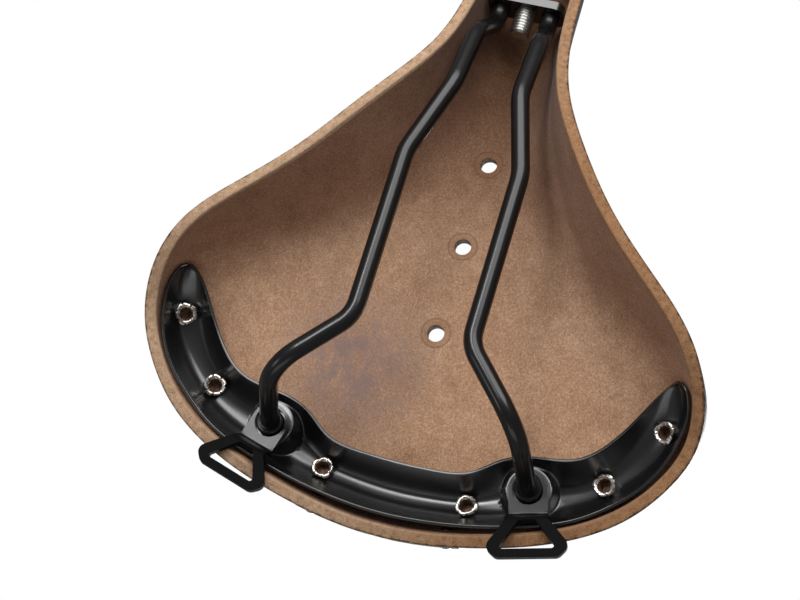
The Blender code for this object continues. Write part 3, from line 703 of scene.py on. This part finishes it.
def cut_edge():
    """Cut edge of the leather: fibres in layers, tan, browner on its left, dyed at its outer corner."""
    look = Look("cut_edge")
    depth = look.node("ShaderNodeAttribute")
    depth.attribute_name = "depth"
    depth = depth.outputs["Fac"]
    layer = look.noise(2.2, 4, 0.6)
    fibre = look.noise(0.55, 4, 0.75)
    tone = look.total((layer, 0.5), (fibre, 0.5))
    tan = look.ramp(tone, (0.34, (0.29, 0.155, 0.082)), (0.52, (0.68, 0.420, 0.245)),
                    (0.68, (0.88, 0.66, 0.46)))
    wander = look.math("MULTIPLY", look.math("SUBTRACT", layer, 0.5), 0.25)
    at = look.math("ADD", depth, wander)
    tan = look.mix(look.grey(at, 0.55, 0.0, 0.72, 1.0), look.mix(0.6, tan, (0.55, 0.38, 0.26)), tan)
    dyed = look.grey(at, 0.85, 0.0, 0.0, 0.09)
    browned = look.grey(axis_parts(look)[1], 0.0, 1.0, -0.02, 0.04)
    tan = look.tint(browned, tan, (0.66, 0.53, 0.41))
    look.colour(look.mix(dyed, tan, (0.035, 0.022, 0.016)))
    look.set(Roughness=0.85, Specular_IOR_Level=0.3)
    look.bump((layer, 0.4, 0.6), (fibre, 0.8, 0.4))
    return look.material


def grain():
    """Grain side of the leather: near black, waxed, with fine pores and worn, warmer high spots."""
    look = Look("grain_side")
    cells = look.node("ShaderNodeTexVoronoi", Vector=look.place, Scale=1 / (0.9 * MM))
    cells.feature = "DISTANCE_TO_EDGE"
    crease = look.grey(cells.outputs["Distance"], 0.0, 1.0, 0.0, 0.12)
    broad = look.noise(28, 4, 0.6)
    scuff = look.noise(2.6, 5, 0.7)
    base = look.ramp(broad, (0.35, (0.010, 0.008, 0.007)), (0.7, (0.026, 0.017, 0.012)))
    look.colour(look.mix(look.grey(crease, 0.5, 0.0), base, (0.004, 0.003, 0.003)))
    look.rough(look.grey(scuff, 0.30, 0.50, 0.3, 0.7))
    look.set(Coat_Weight=0.15, Coat_Roughness=0.3)
    look.bump((crease, 0.35, 0.12), (scuff, 0.15, 0.2))
    return look.material


def enamel(name, roughness, gloss_blur, gloss_ior, specular):
    """Stove enamel over steel: deep black, a little orange peel, faint dust in the gloss."""
    look = Look(name)
    peel = look.noise(2.4, 2, 0.5)
    dust = look.noise(0.5, 4, 0.8)
    smear = look.noise(16, 3, 0.6)
    look.colour(look.ramp(smear, (0.3, (0.0015, 0.0015, 0.0018)), (0.7, (0.0035, 0.0035, 0.0038))))
    tone = look.total((smear, 0.6), (dust, 0.4))
    look.rough(look.grey(tone, roughness - 0.05, roughness + 0.09, 0.3, 0.7))
    look.set(Coat_Weight=0.9, Coat_Roughness=gloss_blur, Coat_IOR=gloss_ior,
             Specular_IOR_Level=specular)
    look.bump((peel, 0.04, 0.1), (dust, 0.03, 0.03))
    return look.material


def strap_enamel():
    """The loops' thinner enamel: dull where straps have rubbed it, glossier round the boss and its collar."""
    look = Look("strap_enamel")
    x, y, _ = axis_parts(look)
    dx = look.math("SUBTRACT", x, BOSS.x * MM)
    dy = look.math("SUBTRACT", look.math("ABSOLUTE", y), BOSS.y * MM)
    dull = look.grey(look.length(dx, dy), 0.0, 1.0, 0.0100, 0.0125)
    grit = look.noise(0.7, 4, 0.7)
    look.colour(look.ramp(grit, (0.3, (0.003, 0.003, 0.003)), (0.7, (0.006, 0.006, 0.006))))
    smoothest = look.grey(grit, 0.26, 0.38, 0.3, 0.7)
    look.rough(look.math("ADD", smoothest, look.math("MULTIPLY", dull, 0.42)))
    look.set(Specular_IOR_Level=0.12)
    look.feed(look.shader.inputs["Coat Weight"], look.grey(dull, 1.0, 0.0))
    look.set(Coat_IOR=1.62, Coat_Roughness=0.26)
    look.bump((grit, 0.12, 0.05), (look.noise(1.8, 3, 0.6), 0.15, 0.12))
    return look.material


def nickel():
    """Bright plating on rolled tube, with fine turning marks and tarnish."""
    look = Look("bright_nickel")
    tarnish = look.noise(1.3, 4, 0.7)
    marks = look.noise(0.35, 3, 0.6)
    look.colour(look.ramp(tarnish, (0.35, (0.44, 0.35, 0.29)), (0.52, (0.84, 0.78, 0.73)),
                          (0.7, (0.95, 0.92, 0.90))))
    look.rough(look.grey(marks, 0.14, 0.36, 0.3, 0.7))
    look.set(Metallic=1.0)
    look.bump((marks, 0.25, 0.08), (tarnish, 0.2, 0.15))
    return look.material


def tarnished():
    """Inside of a rivet's tube: brown, dull, unplated."""
    look = Look("rivet_bore")
    patch = look.noise(0.9, 4, 0.7)
    look.colour(look.ramp(patch, (0.35, (0.09, 0.045, 0.028)), (0.65, (0.40, 0.25, 0.18))))
    look.rough(look.grey(patch, 0.65, 0.4, 0.3, 0.7))
    look.set(Metallic=0.5)
    look.bump((patch, 0.5, 0.2))
    return look.material


def satin_steel(name, colour, streak=None):
    """Zinc plate or satin steel, with a brushed direction where streak gives one."""
    look = Look(name)
    lines = look.noise(0.5, 4, 0.7, stretch=streak)
    cloud = look.noise(5, 3, 0.6)
    dark = tuple(0.62 * channel for channel in colour)
    look.colour(look.ramp(cloud, (0.3, dark), (0.7, colour)))
    look.rough(look.grey(lines, 0.26, 0.46, 0.3, 0.7))
    look.set(Metallic=1.0)
    look.bump((lines, 0.15, 0.06))
    return look.material


# ---- Leather ----

def eased(count, amount):
    """Places from 0 to 1, closer together at both ends."""
    u = np.linspace(0, 1, count + 1)
    return u - amount * np.sin(2 * math.pi * u) / (2 * math.pi)


def rivet_lines():
    """Origin on the cantle plate's underside, axis and length of each rear rivet, left to right."""
    left = []
    for site in RIVET_SITES:
        point, direction = trough_at(*site)
        axis = leather_along(point, direction)[1]
        left.append((point, axis, leather_along(point, axis)[0] + GAP))
    return left + [(flipped(point), flipped(axis), length) for point, axis, length in reversed(left)]


def nose_lines():
    """Point and outward axis of each nose rivet, left to right."""
    left = [leather_at(*site) for site in NOSE_RIVET_SITES]
    return left + [(flipped(point), flipped(axis)) for point, axis in reversed(left[:2])]


def badge_lines():
    point, axis = leather_at(*BADGE_RIVET)
    return [(point, axis), (flipped(point), flipped(axis))]


def make_leather(rear, nose, badge):
    looks = (grain(), cut_edge(), suede())
    points, normals = leather_sheet(eased(230, 0.35), np.linspace(0, 1, 58))
    leather = thick_sheet("leather_cover", points, normals, LEATHER, 0.7, True, looks, wrap=False)
    vents = [Vector((x, 0, float(crown(x)) - LEATHER / 2)) for x in VENT_XS]
    sites = [(vent, UP, VENT_RADIUS, LEATHER_REACH) for vent in vents]
    sites += [(point, axis, REAR_HOLE, REAR_REACH) for point, axis, _ in rear]
    sites += [(point, axis, NOSE_HOLE, LEATHER_REACH) for point, axis in nose]
    sites += [(point, axis, BADGE_HOLE, LEATHER_REACH) for point, axis in badge]
    leather = holes(leather, sites)
    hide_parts("leather_top")
    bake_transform(leather)


# ---- Steel sheet pieces ----

def make_cantle_plate(rear, black):
    """The pressing, with its ribs closest together over the boss."""
    stretches = [np.linspace(0, 3, 40), np.linspace(3, 5.4, 90), np.linspace(5.4, 12, 110)]
    ribs = np.unique(np.concatenate(stretches))
    points, normals = trough_sheet(ribs, np.linspace(0, 1, 64))
    plate = thick_sheet("cantle_pressing", points, normals, CANTLE, 0.35, False, (black,), cap="last")
    sites = [(point, axis, CANTLE_HOLE, PLATE_REACH) for point, axis, _ in rear]
    sites += [(point, UP, RAIL_RADIUS + GAP, PLATE_REACH) for point in (BOSS, flipped(BOSS))]
    plate = holes(plate, sites)
    place(plate, "saddle", "black_enamel", "cantle_plate")


def make_badge(badge, steel):
    ts = np.linspace(0, BADGE_T, 30)
    points, normals = leather_sheet(ts, np.linspace(*BADGE_S, 16))
    near = points + GAP * normals
    plate = thick_sheet("badge_blank", near, normals, BADGE_THICKNESS, 0.25, False, (steel,), cap="last")
    plate = holes(plate, [(point, axis, BADGE_HOLE, BADGE_REACH) for point, axis in badge])
    place(plate, "saddle", "badge_steel", "badge_plate")


def make_nose_plate(nose, black):
    ts = np.linspace(NOSE_PLATE_START, 1, 44)
    points, normals = leather_sheet(ts, np.linspace(*NOSE_PLATE_SPAN, 28))
    near = points - (LEATHER + GAP) * normals
    plate = thick_sheet("nose_pressing", near, normals, NOSE_PLATE, 0.35, True, (black,), cap="first")
    plate = holes(plate, [(point, axis, NOSE_HOLE, NOSE_REACH) for point, axis in nose])
    place(plate, "nose", "black_enamel", "nose_plate")


# ---- Rivets ----

def torn(seed, petals=7):
    """How a rivet's rolled end splits: narrow notches between petals of uneven length."""
    def ripple(index, turn):
        if not ROLL_START <= index < ROLL_START + len(ROLL_SHARES):
            return 1, 0
        phase = turn * petals / (2 * math.pi) + 0.31 * seed
        notch = max(0.0, 1 - abs((phase % 1) - 0.5) * 9)
        wave = 0.045 * math.sin(3 * turn + seed) + 0.03 * math.sin(5 * turn + 2.3 * seed)
        grip = ROLL_SHARES[index - ROLL_START]
        return 1 + grip * (wave - 0.17 * notch), 0.25 * grip * math.sin(2 * turn + 1.7 * seed) * 0.6
    return ripple


def make_rear_rivets(rear, bright, brown):
    for number, (point, axis, length) in enumerate(rear, 1):
        dome = [(0, length + 1.9), (1.6, length + 1.82), (3.2, length + 1.5), (4.6, length + 0.9),
                (5.4, length + 0.2), (5.45, length)]
        tube = [(2.8, length), (2.8, -1.5), (3.1, -2.05), (3.75, -2.2), (4.2, -2.55), (4.15, -2.95),
                (3.7, -3.25), (3.1, -3.2), (2.6, -2.8), (2.35, -2.2), (2.3, -1.4), (2.3, 2.5), (0, 2.6)]
        rivet = turned("tube_rivet_%d" % number, dome + tube, facing(point, axis), bright, steps=84,
                       ripple=torn(number))
        rivet.data.materials.append(brown)
        for polygon in rivet.data.polygons:
            inside = max(math.hypot(*rivet.data.vertices[v].co.xy) for v in polygon.vertices) < 2.45 * MM
            if inside and polygon.center.z < 2.7 * MM:
                polygon.material_index = 1
        place(rivet, "saddle", "bright_nickel", "rear_rivet_%d" % number)


def make_nose_rivets(nose, bright):
    inner = -LEATHER - NOSE_PLATE - 2 * GAP - 0.9
    profile = [(0, GAP + 1.9), (1.6, GAP + 1.82), (3.1, GAP + 1.5), (4.4, GAP + 0.9), (5.1, GAP + 0.2),
               (5.15, GAP), (2.5, GAP), (2.5, inner), (3.1, inner - 0.1), (3.3, inner - 0.4),
               (3.0, inner - 0.8), (2.4, inner - 0.7), (2.1, inner), (2.1, inner + 1.2), (0, inner + 1.2)]
    for number, (point, axis) in enumerate(nose, 1):
        rivet = turned("dome_rivet_%d" % number, profile, facing(point, axis), bright)
        place(rivet, "nose", "bright_nickel", "nose_rivet_%d" % number)


def make_badge_rivets(badge, bright):
    head, inner = BADGE_THICKNESS + 2 * GAP, -LEATHER - GAP
    profile = [(0, head + 1.0), (0.8, head + 0.95), (1.6, head + 0.7), (2.25, head + 0.25), (2.35, head),
               (1.4, head), (1.4, inner), (2.1, inner), (2.1, inner - 0.2), (1.6, inner - 0.6),
               (0, inner - 0.8)]
    for side, (point, axis) in zip(("left", "right"), badge):
        pin = turned("badge_pin_" + side, profile, facing(point, axis), bright, steps=32)
        place(pin, "saddle", "bright_nickel", "badge_rivet_" + side)


# ---- Rails ----

def make_rail(side, flip, black):
    """The bent tube, and the head and collar upset on it above and below the cantle plate."""
    curve = bpy.data.curves.new("rail_tube_" + side, "CURVE")
    curve.dimensions = "3D"
    curve.bevel_depth = RAIL_RADIUS * MM
    curve.bevel_resolution = 8
    curve.use_fill_caps = True
    path = [flip(point) for point in rounded(RAIL_CORNERS, RAIL_BENDS, pieces=14)]
    spline = curve.splines.new("POLY")
    spline.points.add(len(path) - 1)
    for corner, point in zip(spline.points, path):
        corner.co = (*(point * MM), 1)
    rail = smooth(baked(add_object("rail_tube_" + side, curve), weld=0.005), 50)
    place(rail, "saddle", "black_enamel", "rail_" + side, material=black)
    top, bottom = CANTLE + GAP, -2 * GAP - LOOP_THICKNESS - 1.2
    head = [(0, top + 2.6), (1.8, top + 2.5), (3.4, top + 2.0), (4.6, top + 1.1), (5.0, top + 0.3),
            (4.9, top), (0, top)]
    collar = [(0, -GAP), (COLLAR_RADIUS, -GAP), (COLLAR_RADIUS, bottom + 0.9),
              (COLLAR_RADIUS - 0.3, bottom + 0.3), (COLLAR_RADIUS - 0.9, bottom),
              (RAIL_RADIUS + 0.5, bottom + 0.1), (RAIL_RADIUS - 0.4, bottom + 0.5), (0, bottom + 0.5)]
    boss = Matrix.Translation(flip(BOSS) * MM)
    place(turned("rail_head_" + side, head, boss, black), "saddle", "black_enamel")
    place(turned("rail_collar_" + side, collar, boss, black), "saddle", "black_enamel")


# ---- Bag loops ----

def strip_place(q):
    """Distance out and height of the strip's underside, q along it from where the fold starts."""
    if q <= 0:
        return q, 0.0
    first, second = LOOP_BENDS
    end_first = first * LOOP_STEEP
    end_drop = end_first + LOOP_DROP
    angle = min(q, end_first) / first
    out, height = first * math.sin(angle), -first * (1 - math.cos(angle))
    straight = max(min(q, end_drop) - end_first, 0)
    out += straight * math.cos(LOOP_STEEP)
    height -= straight * math.sin(LOOP_STEEP)
    turn = min(max(q - end_drop, 0) / second, LOOP_STEEP - LOOP_FLAT)
    out += second * (math.sin(LOOP_STEEP) - math.sin(LOOP_STEEP - turn))
    height -= second * (math.cos(LOOP_STEEP - turn) - math.cos(LOOP_STEEP))
    rest = max(q - end_drop - second * (LOOP_STEEP - LOOP_FLAT), 0)
    return out + rest * math.cos(LOOP_FLAT), height - rest * math.sin(LOOP_FLAT)


def loop_outlines():
    """The strip laid flat, its opening and the collar's hole: x runs out from the boss's centre, y across."""
    half, fold = LOOP_HALF_WIDTH, LOOP_FOLD
    flare, bar = fold + 8.2, fold + LOOP_LENGTH
    turns = np.radians(90 + np.linspace(0, 180, 33))
    tongue = [(half * math.cos(turn), half * math.sin(turn)) for turn in turns]
    corners = [(0, -half, 0), (flare, -half, 0), (bar - 4.2, -LOOP_BAR_HALF - 0.6, 0),
               (bar, -LOOP_BAR_HALF + 3.6, 0), (bar, 0, 0)]
    lower = rounded(corners, [0, 4, 3.2, 3.2, 0], pieces=8)[1:-1]
    upper = [flipped(point) for point in reversed(lower)]
    top, bottom = fold + 8.9, fold + LOOP_LENGTH - 3.3
    opening = rounded([(top, 2.9, 0), (top, -2.9, 0), (bottom, -10.6, 0), (bottom, 10.6, 0)],
                      [0.8, 0.8, 1.0, 1.0], pieces=6, closed=True)
    return tongue + in_plan(lower + upper), in_plan(opening), circle(COLLAR_RADIUS + 0.6)


def make_bag_loop(side, sign, black):
    """The flat strip is cut across where it bends, folded by strip_place and thickened."""
    bottom = BOSS.z - GAP - LOOP_THICKNESS
    outward = Vector((-math.cos(LOOP_TOE_OUT), sign * math.sin(LOOP_TOE_OUT), 0))
    across = UP.cross(outward)
    centre = Vector((BOSS.x, sign * BOSS.y, bottom))
    loop = flat_outline("strap_loop_" + side, loop_outlines(), 0, Matrix.Identity(4))
    first = LOOP_BENDS[0] * LOOP_STEEP
    second = LOOP_BENDS[1] * (LOOP_STEEP - LOOP_FLAT)
    creases = [first * k / 6 for k in range(7)]
    creases += [first + LOOP_DROP + second * k / 8 for k in range(9)]
    with edited(loop.data) as bm:
        for crease in creases:
            parts = bm.verts[:] + bm.edges[:] + bm.faces[:]
            bmesh.ops.bisect_plane(bm, geom=parts, dist=0.0000001,
                                   plane_co=((LOOP_FOLD + crease) * MM, 0, 0), plane_no=(1, 0, 0))
        for vertex in bm.verts:
            out, height = strip_place(vertex.co.x / MM - LOOP_FOLD)
            spot = centre + (LOOP_FOLD + out) * outward + (vertex.co.y / MM) * across
            vertex.co = (spot + height * UP) * MM
        bmesh.ops.recalc_face_normals(bm, faces=bm.faces)
        if sum(face.normal.z for face in bm.faces) < 0:
            bmesh.ops.reverse_faces(bm, faces=bm.faces)
    solidify = loop.modifiers.new("Solidify", "SOLIDIFY")
    solidify.thickness = LOOP_THICKNESS * MM
    solidify.offset = 1
    solidify.use_even_offset = True
    loop = softened(baked(loop), 0.45, 50)
    place(loop, "saddle", "black_enamel", "bag_loop_" + side, material=black)


# ---- Nose mechanism ----

def across_bolt(x):
    """Local X across the saddle, local Y up, local Z forward, with the origin on the bolt's axis."""
    axes = Matrix(((0, 0, 1, 0), (1, 0, 0, 0), (0, 1, 0, 0), (0, 0, 0, 1)))
    return Matrix.Translation(Vector((x, 0, BOLT_Z)) * MM) @ axes


def make_bridge(black):
    half, tall = BRIDGE_HALF_WIDTH, BRIDGE_HALF_HEIGHT
    corners = [(-half, -tall, 0), (half, -tall, 0), (half, tall, 0), (-half, tall, 0)]
    outline = in_plan(rounded(corners, [4] * 4, pieces=10, closed=True))
    rail_hole = RAIL_RADIUS + GAP
    gaps = [circle(rail_hole, (-RAIL_NOSE_Y, 0)), circle(BOLT_RADIUS + 0.35),
            circle(rail_hole, (RAIL_NOSE_Y, 0))]
    middle = across_bolt(BRIDGE_FRONT - BRIDGE_HALF_THICKNESS)
    bridge = flat_outline("rail_yoke", [outline] + gaps, BRIDGE_HALF_THICKNESS, middle)
    place(softened(bridge, 0.35), "saddle", "black_enamel", "rail_bridge", material=black)


def make_nut(steel):
    """A hexagon whose corners are cut back by a cone, with a chamfered bore."""
    half, flats, sixth = NUT_HALF_LENGTH, NUT_HALF_FLATS, math.pi / 3
    corner, bore = flats / math.cos(sixth / 2), BOLT_RADIUS + GAP
    profile = [(bore + 0.6, half), (flats - 0.2, half), (corner, half - 0.75), (corner, 0.75 - half),
               (flats - 0.2, -half), (bore + 0.6, -half), (bore, 0.6 - half), (bore, half - 0.6)]
    verts, faces, steps = [], [], 72
    for radius, height in profile:
        for step in range(steps):
            turn = 2 * math.pi * step / steps
            flat = flats / math.cos((turn + sixth / 2) % sixth - sixth / 2)
            reach = min(radius, flat)
            verts.append((reach * math.cos(turn) * MM, reach * math.sin(turn) * MM, height * MM))
    rings = len(profile)
    for ring in range(rings):
        for step in range(steps):
            a, b = ring * steps, (ring + 1) % rings * steps
            after = (step + 1) % steps
            faces.append((a + step, b + step, b + after, a + after))
    mesh = bpy.data.meshes.new("adjuster_nut")
    mesh.from_pydata(verts, [], faces)
    nut = add_object("adjuster_nut", mesh)
    nut.matrix_world = across_bolt(BRIDGE_FRONT + GAP + half)
    place(smooth(nut, 25), "tension_nut", "plated_steel", "tension_nut", material=steel)


def make_bolt(steel):
    """Rolled thread along the shank, a collar behind the shackle's web and a peened spigot in front."""
    web_rear, web_front = SHACKLE_WEB - GAP, SHACKLE_WEB + SHACKLE_STRAP + GAP
    crest, root, pitch = BOLT_RADIUS, BOLT_RADIUS - 0.65, 1.25
    profile = [(0, web_front + 1.6), (2.2, web_front + 1.55), (3.9, web_front + 1.3), (5.0, web_front + 0.8),
               (5.4, web_front + 0.2), (5.3, web_front), (3.4, web_front), (3.4, web_rear), (5.9, web_rear),
               (6.2, web_rear - 0.3), (6.2, web_rear - 2.7), (5.9, web_rear - 3), (crest, web_rear - 3)]
    height = web_rear - 4.0
    while height > BOLT_REAR + 1.4:
        profile += [(crest, height), (root, height - 0.45), (root, height - 0.6), (crest, height - 1.05)]
        height -= pitch
    profile += [(crest, BOLT_REAR + 0.9), (crest - 0.8, BOLT_REAR), (0, BOLT_REAR)]
    bolt = turned("adjuster_bolt", profile, across_bolt(0), steel)
    place(smooth(bolt, 25), "nose", "plated_steel", "tension_bolt")


def make_shackle(black):
    """A U of strap: its web is pushed forward by the bolt, and its arms push on the nose plate."""
    half, strap, back, tip = SHACKLE_HALF_WIDTH, SHACKLE_STRAP, SHACKLE_WEB, SHACKLE_TIP
    corners = [(tip, half - strap, 0), (tip, half, 0), (back, half, 0), (back, -half, 0), (tip, -half, 0),
               (tip, strap - half, 0), (back + strap, strap - half, 0), (back + strap, half - strap, 0)]
    path = rounded(corners, [0.4, 0.4, 4, 4, 0.4, 0.4, 1.2, 1.2], pieces=8, closed=True)
    level = Matrix.Translation(Vector((0, 0, BOLT_Z)) * MM)
    shackle = softened(flat_outline("nose_strap", [in_plan(path)], SHACKLE_HALF_HEIGHT, level), 0.35)
    shackle = holes(shackle, [(Vector((back, 0, BOLT_Z)), Vector((1, 0, 0)), SHACKLE_HOLE, SHACKLE_REACH)])
    place(shackle, "nose", "black_enamel", "tension_shackle", material=black)


# ---- Camera, light and floor ----

# In metres. Each light's place is seen from the saddle's middle; then come its size and power.
CAMERA_AT = (-0.2020, 0.1404, -0.6015)
MIDDLE = Vector((0, 0, 0.03))
SOFT_LIGHTS = (
    ("soft_below", (0.56, 0.04, -0.83), (1.15, 0.70), 9.0),
    ("strip_below", (0.19, -0.32, -0.93), (0.16, 0.28), 1.5),
    ("soft_right", (-0.55, -0.80, -0.65), (0.4, 0.3), 0.7),
    ("soft_rear", (-1.0, 0.10, -0.35), (0.8, 0.4), 0.8),
)
FLOOR_Z = -1.3
FLOOR_HALF = 6


def make_camera():
    """Below and behind the saddle, on its left, looking up and forward."""
    right = Vector((0.286469, 0.946748, 0.146981)).normalized()
    ahead = Vector((0.277492, -0.228823, 0.933080)).normalized()
    up = right.cross(ahead)
    camera = add_object("camera", bpy.data.cameras.new("camera"))
    camera.data.sensor_width = 36
    camera.data.lens = 81.0
    camera.data.clip_start = 0.01
    turn = Matrix((right, up, -ahead)).transposed().to_4x4()
    camera.matrix_world = Matrix.Translation(CAMERA_AT) @ turn
    bpy.context.scene.camera = camera


def add_light(name, kind, away, power):
    """A light at a place away from the saddle's middle, turned towards it."""
    data = bpy.data.lights.new(name, kind)
    data.energy = power
    light = add_object(name, data)
    turn = (-Vector(away)).to_track_quat("-Z", "Y").to_matrix().to_4x4()
    light.matrix_world = Matrix.Translation(MIDDLE + Vector(away)) @ turn
    return data


def make_lights():
    """Soft lights below, beside and behind the saddle, and daylight from above."""
    for name, away, size, power in SOFT_LIGHTS:
        data = add_light(name, "AREA", away, power)
        data.shape = "RECTANGLE"
        data.size, data.size_y = size
    daylight = add_light("soft_above", "SUN", (-0.3, 0.3, 2.2), 3.0)
    daylight.angle = math.radians(50)


def make_world():
    """Surroundings that light the saddle gently, and look plain white behind it."""
    world = bpy.data.worlds.new("studio")
    bpy.context.scene.world = world
    world.use_nodes = True
    tree = world.node_tree
    gentle = tree.nodes["Background"]
    gentle.inputs["Color"].default_value = (0.96, 0.98, 1.0, 1)
    gentle.inputs["Strength"].default_value = 0.16
    white = tree.nodes.new("ShaderNodeBackground")
    white.inputs["Color"].default_value = (1, 1, 1, 1)
    seen = tree.nodes.new("ShaderNodeLightPath").outputs["Is Camera Ray"]
    both = tree.nodes.new("ShaderNodeMixShader")
    tree.links.new(seen, both.inputs[0])
    tree.links.new(gentle.outputs[0], both.inputs[1])
    tree.links.new(white.outputs[0], both.inputs[2])
    tree.links.new(both.outputs[0], tree.nodes["World Output"].inputs["Surface"])


def make_floor():
    """A floor that is pale where it is seen, but throws little light back up."""
    mesh = bpy.data.meshes.new("floor")
    with edited(mesh) as bm:
        bmesh.ops.create_grid(bm, x_segments=2, y_segments=2, size=FLOOR_HALF)
    look = Look("floor")
    pale = look.ramp(look.noise(400, 2), (0.3, (0.78, 0.78, 0.77)), (0.7, (0.82, 0.82, 0.81)))
    seen = look.node("ShaderNodeLightPath").outputs["Is Camera Ray"]
    look.colour(look.mix(seen, (0.10, 0.10, 0.10), pale))
    look.set(Roughness=0.9)
    floor = add_object("floor", mesh, look.material)
    floor.location.z = FLOOR_Z


def main():
    rear, nose, badge = rivet_lines(), nose_lines(), badge_lines()
    black = enamel("black_enamel", 0.42, 0.24, 2.05, 0.15)
    rail_black = enamel("rail_enamel", 0.45, 0.20, 1.50, 0.25)
    strap_black = strap_enamel()
    bright = nickel()
    zinc = satin_steel("zinc_plate", (0.62, 0.61, 0.58))
    make_leather(rear, nose, badge)
    make_cantle_plate(rear, black)
    make_badge(badge, satin_steel("badge_steel", (0.66, 0.65, 0.63), streak=(1, 0.05, 1)))
    make_nose_plate(nose, black)
    make_rear_rivets(rear, bright, tarnished())
    make_nose_rivets(nose, bright)
    make_badge_rivets(badge, bright)
    for side, flip, sign in (("left", Vector, 1), ("right", flipped, -1)):
        make_rail(side, flip, rail_black)
        make_bag_loop(side, sign, strap_black)
    make_bridge(black)
    make_nut(zinc)
    make_bolt(zinc)
    make_shackle(black)
    make_camera()
    make_world()
    make_lights()
    make_floor()
    bpy.context.scene.view_settings.view_transform = "Standard"


main()
